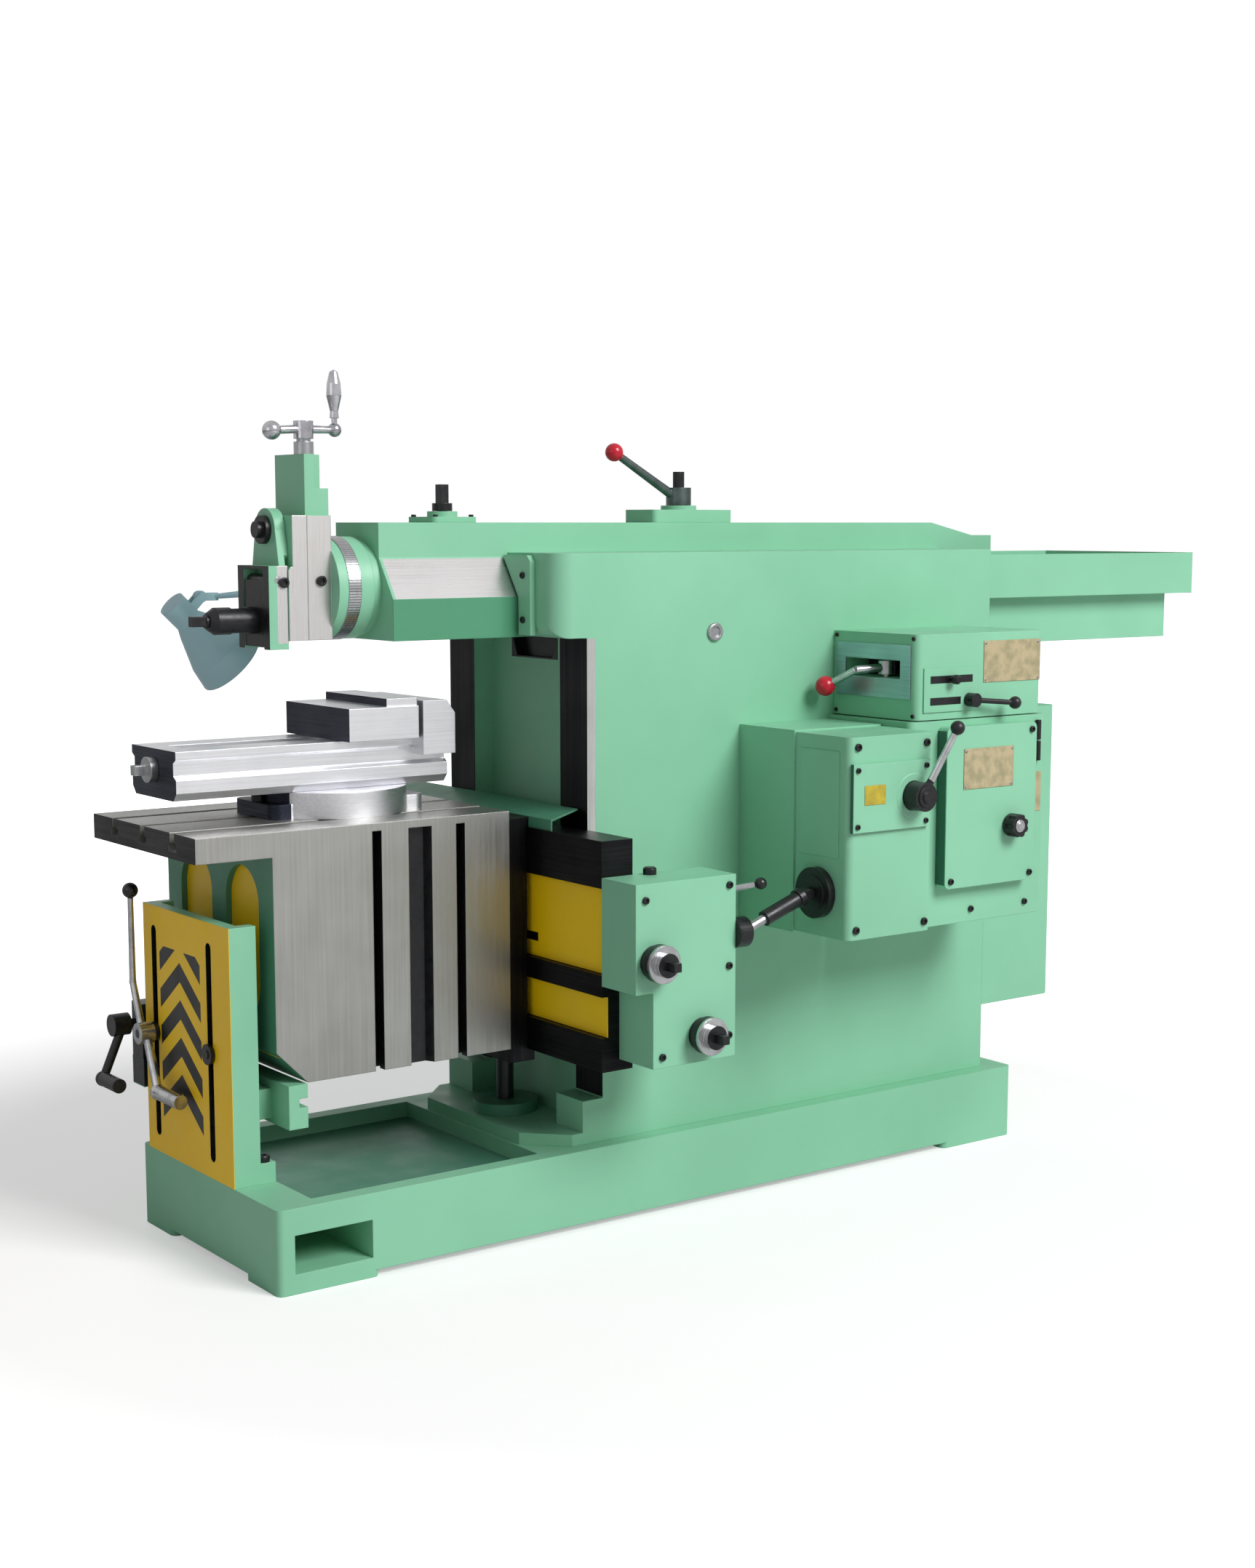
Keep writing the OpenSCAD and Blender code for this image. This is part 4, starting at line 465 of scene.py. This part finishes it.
riveted_plate("control", (546, box_low.z + 64), (696, box_low.z + 142), box_low.y)
box_spots = [at(box_low.x, y, box_low.z + z) for y in (box_low.y + 8, -side - 8) for z in (8, 150)]
screws("control_box_screws", box_spots, front_side, 4, 3)
dress(black_steel_and_painted_shade, "gate_lever")

# Drive box, its cover and knob
# Cast box under the control box with a raised cast door on a hinge, held by four socket screws; a fluted
# black knob with a bright cap comes through the door, and a bare data plate is riveted above it.

dress(green_enamel, "drive_box")
dress(black_steel_and_painted_shade, "drive_knob")
door_low, door_high = [corner * 1000 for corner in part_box("drive_cover")]
# the door's left edge is painted darker: painted shade
door_edge = within((door_low.x - 1, door_low.y + 2, door_low.z + 4),
                   (door_low.x + 1, door_high.y, door_high.z - 4))
dress(surface("green_enamel_with_painted_shade_edge", green, (edge_painted_shade, door_edge)), "drive_cover")
knob_low, knob_high = [corner * 1000 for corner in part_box("drive_knob")]
knob_face = at((knob_low.x + knob_high.x) / 2, knob_low.y, (knob_low.z + knob_high.z) / 2)
knob_cap = bmesh.new()
knob_cap_outline = [(0, 3), (7, 3), (8, 2), (8, 1.2), (11, 1.2), (12, 0.6), (12, 0), (0, 0)]
turned(knob_cap, knob_cap_outline, knob_face, near_side, steps=32)
fit("knob_cap", knob_cap, bright_steel, "knob")
corner_in = 14
door_spots = [at(x, door_low.y, z) for x in (door_low.x + corner_in, door_high.x - corner_in)
              for z in (door_low.z + corner_in, door_high.z - corner_in)]
screws("drive_cover_screws", door_spots, near_side, 6, 5)
riveted_plate("door", (474, 766), (604, 842), door_low.y)
drive_low, drive_high = [corner * 1000 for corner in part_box("drive_box")]
upward = (0, 0, 1)
hinge_x = (door_high.x + drive_high.x) / 2
barrel_h = 38
barrel = [(0, 0), (5, 0), (5.5, 1), (5.5, barrel_h - 1), (5, barrel_h), (0, barrel_h)]
door_hinge = bmesh.new()
for barrel_top in (door_high.z - 40, door_high.z):
    turned(door_hinge, barrel, at(hinge_x, drive_low.y - 5, barrel_top - barrel_h), upward, steps=20)
fit("door_hinge", door_hinge, black_steel_and_painted_shade, "frame")
side_plate_half = 14
side_plate = bmesh.new()
slab(side_plate, (hinge_x - side_plate_half, drive_low.y - data_plate_thick, 708),
     (hinge_x + side_plate_half, drive_low.y, 784), 0.5)
fit("blank_side_plate", side_plate, bare_plate, "frame")
screws("drive_box_screws", [at(x, drive_low.y, drive_low.z + 24) for x in (524, 668)], near_side, 6, 5)

# Motor cover
# Closed cover of welded sheet behind the column, over the motor and the belts.

dress(green_enamel, "motor_cover")

# Feed disc and telescopic feed shaft
# A blackened disc turns on the gearbox front and drives the feed box through a sliding shaft, whose free
# end runs into a cup on the feed box.

dress(black_steel_and_painted_shade, "feed_disc", "feed_shaft_outer")
dress(bright_steel, "feed_shaft_inner")
feed_cup = bmesh.new()
cup_outline = [(21, 6), (21, 30), (25, 30), (27, 28), (27, 0), (0, 0), (0, 6), (21, 6)]
turned(feed_cup, cup_outline, at(-52, -449, 549), (1, 0, 0), steps=32)
fit("feed_shaft_cup", feed_cup, black_steel_and_painted_shade, "rail")

# Quick return inside the column
# Steel pinion, iron bull gear and rocker arm, bronze block; none shows with the machine closed.

dress(bright_steel, "pinion", "rocker_pivot")
# planed grey iron: warm grey, with coarse tool lines
planed_iron = surface("planed_grey_iron", ground_metal("#8F8C88", "#6E6C69", (0.003, 0.003, 0.2), 0.42))
dress(planed_iron, "bull_gear", "rocker_arm")
# turned bronze: yellow-brown, with fine rings
bronze_finish = surface("turned_bronze", ground_metal("#B8893F", "#93692C", (0.02, 0.002, 0.002), 0.32))
dress(bronze_finish, "slide_block", "feed_nut")

# Ram
# Long cast bar; its sloping dovetail faces are ground bright where they run in the gibs and the rest is
# enamelled. A square-ended shaft and a clamp with a red ball stand on its top.


def flat_sides(coat, half, x0, x1, z0, z1):
    """A finish for both side faces that lie this half width off the middle plane, in millimetres."""
    return [(coat, within((x0, s * half - 0.6, z0), (x1, s * half + 0.6, z1))) for s in (-1, 1)]


# ground dovetail face: pale steel with lines along the stroke
slope_steel = ground_metal("#D2D0D0", "#B4B2B2", (0.3, 0.003, 0.003), 0.3)
# the flank under the dovetail is painted a darker green, as in the photograph: painted shade
flank_painted_shade = enamel("#4F9672", "#478A68")
ram_low, ram_high = [corner * 1000 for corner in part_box("ram")]
way_x0, way_x1 = ram_low.x + 22, ram_high.x - 20
way_z0, way_z1 = 1128.5, 1197.5
way_in, way_out = 75.5, 120.6
ram_finish = surface(
    "enamelled_ram_with_ground_dovetail", green,
    (slope_steel, within((way_x0, way_in, way_z0), (way_x1, way_out, way_z1))),
    (slope_steel, within((way_x0, -way_out, way_z0), (way_x1, -way_in, way_z1))),
    *flat_sides(flank_painted_shade, way_out, ram_low.x + 0.3, ram_high.x - 0.3, ram_low.z - 1, way_z0 - 0.1))
dress(ram_finish, "ram")
dress(green_enamel, "position_plate", "ram_clamp_block")
dress(black_steel_and_painted_shade, "ram_position_shaft", "ram_clamp_stud")
# forged lever, dark with handling
forged_steel = ground_metal("#6E7A78", "#4C5654", (0.02, 0.02, 0.02), 0.34)
clamp_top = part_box("ram_clamp_block")[1].z * 1000
clamp_ball = (22, 0, clamp_top + 98)
dress(surface("dark_lever_with_red_ball", forged_steel, (red_ball, ball_at(clamp_ball, 18))),
      "ram_clamp_lever")
position_x = -356
position_top = 1268
screw_out = 37
position_spots = [at(position_x + sx * screw_out, sy * screw_out, position_top)
                  for sx in (-1, 1) for sy in (-1, 1)]
screws("position_plate_screws", position_spots, upward, 4.5, 4, "ram_body")

# Work lamp
# Spun aluminium shade and steel arm in grey-blue stove enamel; the arm is bolted to the far side of the
# ram's front and the shade tips on a pin at its end.

# stove enamel: cool grey-blue, smooth and evenly satin
lamp_enamel = surface("grey_blue_stove_enamel", enamel("#A3C8D0", "#96BAC2"))
dress(lamp_enamel, "lamp_arm", "lamp_shade")

# Tool head
# Cast swivel head with a graduated bright ring, ground slide with dovetail guide, tilting clapper box
# and blackened clapper with the tool post; a steel ball crank turns the feed screw.

# ground iron: pale grey with short upright lines
pale_iron = ground_metal("#CFCDCC", "#B9B6B4", (0.003, 0.003, 0.08), 0.42)
head_half = 59.2
head_sides = flat_sides(pale_iron, head_half, -690, -610, 1058, 1269)
dress(surface("enamelled_head_with_ground_sides", green, *head_sides), "swivel_head")
slide_sides = flat_sides(pale_iron, head_half, -700, -650, 1058, 1272)
dress(surface("enamelled_slide_with_ground_sides", green, *slide_sides), "tool_slide")
box_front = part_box("clapper_box")[0].x * 1000
box_half = 56
dark_front = within((box_front - 1, -80, 1000), (box_front + 0.5, 80, 1200))
box_sides = flat_sides(pale_iron, box_half, box_front + 16, box_front + 36.2, 1056, 1186)
dress(surface("enamelled_clapper_box_with_dark_front", green, (black_oxide_and_painted_shade, dark_front), *box_sides),
      "clapper_box")
dress(black_steel_and_painted_shade, "clapper_bolt", "clapper", "tool_post")
dress(bright_steel, "clapper_pin", "feed_screw")
# the hand-polished crank mirrors the room in hard light and dark bands
polished_steel = ground_metal("#D4D4D8", "#A4A4AA", (0.02, 0.02, 0.02), 0.14)
dress(surface("polished_crank_steel", polished_steel), "feed_crank")


def graduations(count, axis_spot):
    """Dark engraved lines round an axis along X, as many as count in a full turn."""
    line_share = 0.16

    def mask(tree, seat):
        offset = add_node(tree, "VectorMath", {0: seat.outputs["Object"], 1: at(*axis_spot)},
                          operation="SUBTRACT")
        axes = add_node(tree, "SeparateXYZ", {0: offset.outputs[0]})
        angle = add_node(tree, "Math", {0: axes.outputs[1], 1: axes.outputs[2]}, operation="ARCTAN2")
        steps = add_node(tree, "Math", {0: angle.outputs[0], 1: count / (2 * math.pi)}, operation="MULTIPLY")
        part = add_node(tree, "Math", {0: steps.outputs[0]}, operation="FRACT")
        line = add_node(tree, "Math", {0: part.outputs[0], 1: line_share}, operation="LESS_THAN")
        return line.outputs[0]
    return mask


# turned ring with engraved lines every third degree: bright with a fine dark comb
swivel_z = 1146
ring_finish = surface("graduated_ring", ground_metal(STEEL, STEEL_SHADE, (0.001, 0.02, 0.02), 0.26),
                      (black_oxide_and_painted_shade, graduations(120, (0, 0, swivel_z))))
ring_in, ring_out, ring_w = 87.5, 89.2, 24
ring = bmesh.new()
ring_outline = [(ring_in, 0), (ring_out, 0), (ring_out, ring_w), (ring_in, ring_w), (ring_in, 0)]
turned(ring, ring_outline, at(-572, 0, swivel_z), front_side, steps=96)
fit("swivel_degree_ring", ring, ring_finish, "head")
screws("head_side_screw", [at(-634, -59, 1160)], near_side, 9, 6, "head")
screws("box_side_screw", [at(box_front + 28, -box_half, 1158)], near_side, 9, 6, "clapper_swivel")

# Cross rail, elevating screw and feed box
# Heavy planed rail with dark scraped slideways and two sunk panels painted yellow; the feed box on its near
# end carries two bright dials with black knurled rings.

# warning yellow enamel: strong flat colour
yellow_paint = enamel("#FFD200", "#F4C400")
# planed rail, dark with oil: long lines across the machine
rail_iron = ground_metal("#2C2C2E", "#1B1B1D", (0.2, 0.2, 0.003), 0.4)
rail_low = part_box("cross_rail")[0] * 1000
panel_x = rail_low.x + 12
panels = [(yellow_paint, within((panel_x - 1, -370, low_z), (panel_x + 1, 620, high_z)))
          for low_z, high_z in ((374, 445), (485, 635))]
dress(surface("scraped_rail_with_yellow_panels", rail_iron, *panels), "cross_rail")
# a darker green of the same enamel, as painted shade, for the foot, the chip guard and the table's front wall
green_in_painted_shade = enamel("#4C8B6E", "#417C61")
dress(surface("green_enamel_in_painted_shade", green_in_painted_shade), "elevating_foot", "chip_guard")
dress(black_steel_and_painted_shade, "elevating_screw")
dress(green_enamel, "feed_box")
feed_low, feed_high = [corner * 1000 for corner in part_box("feed_box")]
feed_spots = [at(feed_low.x + dx, feed_low.y, z) for dx, z in
              ((20, 627), (201, 637), (201, 495), (201, 372), (56, 352))]
screws("feed_box_screws", feed_spots, near_side, 6.5, 5, "rail")
oil_cap = bmesh.new()
oil_cap_outline = [(0, 13), (9, 13), (12, 10), (12, 0), (0, 0)]
turned(oil_cap, oil_cap_outline, at(-176, -376, feed_high.z), upward, steps=24)
fit("feed_box_oil_cap", oil_cap, black_steel_and_painted_shade, "rail")


def dial_finish(name, y_face):
    """A bright dial whose knurled ring and square end are black, split along Y in millimetres."""
    ring_end = y_face - 26
    square_start = y_face - 42.5
    return surface(name, ground_metal(STEEL, STEEL_SHADE, (0.02, 0.001, 0.02), 0.26),
                   (black_oxide_and_painted_shade, within((-400, ring_end, 200), (100, y_face + 1, 700))),
                   (black_oxide_and_painted_shade, within((-400, y_face - 80, 200), (100, square_start, 700))))


dress(dial_finish("dial_of_the_cross_feed", feed_low.y), "cross_screw")
dress(dial_finish("dial_of_the_lift", feed_low.y), "lift_shaft")
# black moulded plastic: deep black with a sharp highlight
black_ball = phenolic("#121214", "#1B1B1E")
feed_ball = (10, -452, 631)
dress(surface("feed_lever_with_black_ball", lever_steel, (black_ball, ball_at(feed_ball, 12))), "feed_lever")

# Saddle and table
# Planed iron saddle and box table; the top has T-slots, the near side upright slots, and the painted front
# wall has two sunk yellow panels.

# planed iron: mid grey with long upright lines
table_iron = ground_metal("#B2B2AF", "#A09F9B", (0.006, 0.006, 0.25), 0.4)
# the front end of the top is dull and painted dark: painted shade
table_end_painted_shade = ground_metal("#3C3B3C", "#2A2A2B", (0.004, 0.2, 0.004), 0.42)
table_low, table_high = [corner * 1000 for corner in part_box("table")]
body_front = table_low.x + 139
slot_paths = [(table_high.x - 270, 17), (table_high.x - 184, 25), (table_high.x - 102, 17)]
slot_shade = [(black_oxide_and_painted_shade, within((x - half, table_low.y + 0.3, 300), (x + half, table_low.y + 33, 738)))
              for x, half in slot_paths]
top_end = within((table_low.x - 1, -140, 700), (table_low.x + 0.5, 280, 752))
front_wall = within((body_front - 1, table_low.y + 0.3, 310), (body_front + 60, table_high.y - 0.3, 706))
sunk_panels = within((body_front + 11, -120, 340), (body_front + 13, 262, 690))
table_finish = surface("planed_table_with_painted_front", table_iron, (table_end_painted_shade, top_end), *slot_shade,
                       (green_in_painted_shade, front_wall), (yellow_paint, sunk_panels))
dress(table_finish, "table")
# planed saddle, dark with oil
saddle_iron = ground_metal("#333335", "#1D1D1F", (0.004, 0.004, 0.2), 0.4)
dress(surface("dark_planed_saddle", saddle_iron), "saddle")

# Machine vise
# Ground steel bed and jaws with painted shade on their front faces, on a round swivel base, held to the table
# by two bolts.

# ground vise steel: almost white, with lines along the bed
vise_metal = ground_metal("#EEEEF1", "#D8D8DC", (0.2, 0.004, 0.004), 0.36)
# front end faces: blue-black and dull, as in the photograph; the blue-black is painted shade
front_painted_shade = ground_metal("#3D404C", "#2A2C36", (0.003, 0.2, 0.003), 0.4)
bed_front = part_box("vise_body")[0].x * 1000
bed_end = within((bed_front - 1, -50, 790), (bed_front + 0.5, 200, 900))
dress(surface("ground_vise_bed", vise_metal, (front_painted_shade, bed_end)), "vise_body")
jaw_low, jaw_high = [corner * 1000 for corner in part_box("vise_jaw")]
jaw_end = within((jaw_low.x - 1, -60, 870), (jaw_low.x + 0.5, 220, 960))
jaw_step = within((jaw_high.x - 62.5, -60, 938.6), (jaw_high.x - 61.5, 220, 960))
dress(surface("ground_vise_jaw", vise_metal, (front_painted_shade, jaw_end), (front_painted_shade, jaw_step)), "vise_jaw")
dress(bright_steel, "vise_screw")
foot_low, foot_high = [corner * 1000 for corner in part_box("vise_base")]
front_lug = within((foot_low.x - 1, -60, 750), (foot_low.x + 36, 220, foot_low.z + 60))
dress(surface("ground_vise_base", vise_metal, (front_painted_shade, front_lug)), "vise_base")
bolt_spots = [at(x, 71, foot_low.z + 26) for x in (foot_low.x + 11, foot_high.x - 11)]
screws("vise_base_bolts", bolt_spots, upward, 12, 12, "saddle_body")

# Front support with its beam and clamps
# Slotted steel plate bolted to the base, yellow enamel with black chevrons between the slots; a clamp lever
# and a crank lock the beam that carries the table's front.


def chevrons(middle_y, low_z, high_z, pitch, band, reach, lean):
    """Black chevrons that point up, one above the other, cut off level at the top; in millimetres."""
    def mask(tree, seat):
        axes = add_node(tree, "SeparateXYZ", {0: seat.outputs["Object"]})
        across = add_node(tree, "Math", {0: axes.outputs[1], 1: middle_y / 1000}, operation="SUBTRACT")
        arm = add_node(tree, "Math", {0: across.outputs[0]}, operation="ABSOLUTE")
        inside = add_node(tree, "Math", {0: arm.outputs[0], 1: reach / 1000}, operation="LESS_THAN")
        fall = add_node(tree, "Math", {0: arm.outputs[0], 1: lean}, operation="MULTIPLY")
        rise = add_node(tree, "Math", {0: axes.outputs[2], 1: fall.outputs[0]}, operation="ADD")
        level = add_node(tree, "Math", {0: rise.outputs[0], 1: low_z / 1000}, operation="SUBTRACT")
        step = add_node(tree, "Math", {0: level.outputs[0], 1: 1000 / pitch}, operation="MULTIPLY")
        part = add_node(tree, "Math", {0: step.outputs[0]}, operation="FRACT")
        line = add_node(tree, "Math", {0: part.outputs[0], 1: band / pitch}, operation="LESS_THAN")
        above = add_node(tree, "Math", {0: step.outputs[0], 1: 0.0}, operation="GREATER_THAN")
        below = add_node(tree, "Math", {0: axes.outputs[2], 1: high_z / 1000}, operation="LESS_THAN")
        rows = add_node(tree, "Math", {0: above.outputs[0], 1: below.outputs[0]}, operation="MULTIPLY")
        kept = add_node(tree, "Math", {0: rows.outputs[0], 1: inside.outputs[0]}, operation="MULTIPLY")
        drawn = add_node(tree, "Math", {0: kept.outputs[0], 1: line.outputs[0]}, operation="MULTIPLY")
        return drawn.outputs[0]
    return mask


# black enamel of the chevrons: flat and deep
black_paint = enamel("#060606", "#0C0C0C")
support_low, support_high = [corner * 1000 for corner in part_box("front_support")]
slot_half = 10.3
slot_walls = [(black_oxide_and_painted_shade, within((support_low.x + 0.3, y - slot_half, 170),
                                   (support_low.x + 24.3, y + slot_half, 562)))
              for y in (support_low.y + 78, support_high.y - 42)]
warning_marks = chevrons(middle_y=86, low_z=272, high_z=524, pitch=66, band=34, reach=80, lean=0.73)
green_back = within((support_low.x + 1, -200, 100), (support_high.x + 1, 300, 620))
support_finish = surface("yellow_support_with_chevrons", yellow_paint, (black_paint, warning_marks),
                         (green, green_back), *slot_walls)
dress(support_finish, "front_support")
clamp_plate = within((support_low.x, -200, 250), (support_low.x + 48, 320, 420))
dress(surface("enamelled_beam_with_black_clamp_plate", green, (black_oxide_and_painted_shade, clamp_plate)), "support_beam")
dress(black_steel_and_painted_shade, "beam_studs", "clamp_crank")
lever_ball = (support_low.x - 24, 228, 614.6)
dress(surface("clamp_lever_with_black_ball", lever_steel, (black_ball, ball_at(lever_ball, 15))),
      "clamp_lever")
foot_spots = [at(support_low.x + 62, y, z) for y, z in ((-92.5, 182), (210, 164))]
screws("support_foot_bolts", foot_spots, upward, 11, 11)

# Studio
# White floor and backdrop, a large soft lamp on the operator's side, weak ones in front and on the far
# side, and the camera where the photograph was taken.

scene = bpy.context.scene
scene.view_settings.view_transform = "Standard"
world = bpy.data.worlds.new("white_room")
scene.world = world
world.use_nodes = True
sky = world.node_tree
# white to the camera, a softer white in the metal, and a weak even light on everything
ray = add_node(sky, "LightPath", {})
shine = add_node(sky, "Math", {0: ray.outputs["Is Glossy Ray"], 1: 0.6}, operation="MULTIPLY")
seen = add_node(sky, "Math", {0: ray.outputs["Is Camera Ray"], 1: shine.outputs[0]}, operation="MAXIMUM")
glass = add_node(sky, "Math", {0: seen.outputs[0], 1: ray.outputs["Is Transmission Ray"]},
                 operation="MAXIMUM")
level = add_node(sky, "MapRange", {0: glass.outputs[0], 3: 0.2, 4: 1.0})
room = sky.nodes["Background"]
room.inputs["Color"].default_value = (1, 1, 1, 1)
sky.links.new(level.outputs[0], room.inputs["Strength"])

# pale matt floor that keeps the shadow and fades to white for the camera away from the machine
floor_paint = bpy.data.materials.new("white_studio_floor")
floor_paint.use_nodes = True
cloth = floor_paint.node_tree
matt = cloth.nodes["Principled BSDF"]
matt.inputs["Base Color"].default_value = linear("#D8D8D8")
matt.inputs["Roughness"].default_value = 0.9
matt.inputs["Emission Color"].default_value = (1, 1, 1, 1)
sight_line = add_node(cloth, "LightPath", {})
spread = add_node(cloth, "TexCoord", {})
reach = add_node(cloth, "VectorMath", {0: spread.outputs["Object"]}, operation="LENGTH")
fade = add_node(cloth, "MapRange", {0: reach.outputs["Value"], 1: 1.3, 2: 2.8, 3: 0.4, 4: 1.0})
lift = add_node(cloth, "Math", {0: sight_line.outputs["Is Camera Ray"], 1: fade.outputs[0]},
                operation="MULTIPLY")
cloth.links.new(lift.outputs[0], matt.inputs["Emission Strength"])
ground = bmesh.new()
bmesh.ops.create_grid(ground, x_segments=1, y_segments=1, size=30.0)
ground_mesh = bpy.data.meshes.new("studio_floor")
ground.to_mesh(ground_mesh)
ground.free()
ground_mesh.materials.append(floor_paint)
floor = bpy.data.objects.new("studio_floor", ground_mesh)
scene.collection.objects.link(floor)


def soft_lamp(name, spot, target, size, power, mirrored=True):
    """A square area lamp aimed at a target, in metres and watts; it may be kept out of reflections."""
    lamp = bpy.data.lights.new(name, "AREA")
    lamp.size = size
    lamp.energy = power
    holder = bpy.data.objects.new(name, lamp)
    holder.location = spot
    holder.rotation_euler = (Vector(target) - Vector(spot)).to_track_quat("-Z", "Y").to_euler()
    holder.visible_glossy = mirrored
    scene.collection.objects.link(holder)


soft_lamp("operator_side_lamp", (2.4, -8.0, 7.0), (0.1, 0, 0.6), 4.6, 1020)
soft_lamp("front_lamp", (-4.6, -1.2, 2.2), (-0.3, 0, 0.7), 2.4, 10)
soft_lamp("far_side_lamp", (1.0, 7.0, 2.6), (0.1, 0, 0.7), 4.0, 140, mirrored=False)

# the lens and its shift were solved from the photograph, in pixels of its height
photo_height = 2156
sensor = 36.0
view = bpy.data.cameras.new("photo_camera")
view.sensor_fit = "VERTICAL"
view.sensor_height = sensor
view.lens = 3099.3 / photo_height * sensor
view.shift_x = -6.3 / photo_height
view.shift_y = 61.7 / photo_height
tripod = bpy.data.objects.new("photo_camera", view)
tripod.location = (-2.4876, -3.4591, 1.2572)
yaw = math.radians(36.41)
dip = math.radians(7.73)
aim = Vector((math.sin(yaw) * math.cos(dip), math.cos(yaw) * math.cos(dip), -math.sin(dip)))
tripod.rotation_euler = aim.to_track_quat("-Z", "Y").to_euler()
scene.collection.objects.link(tripod)
scene.camera = tripod
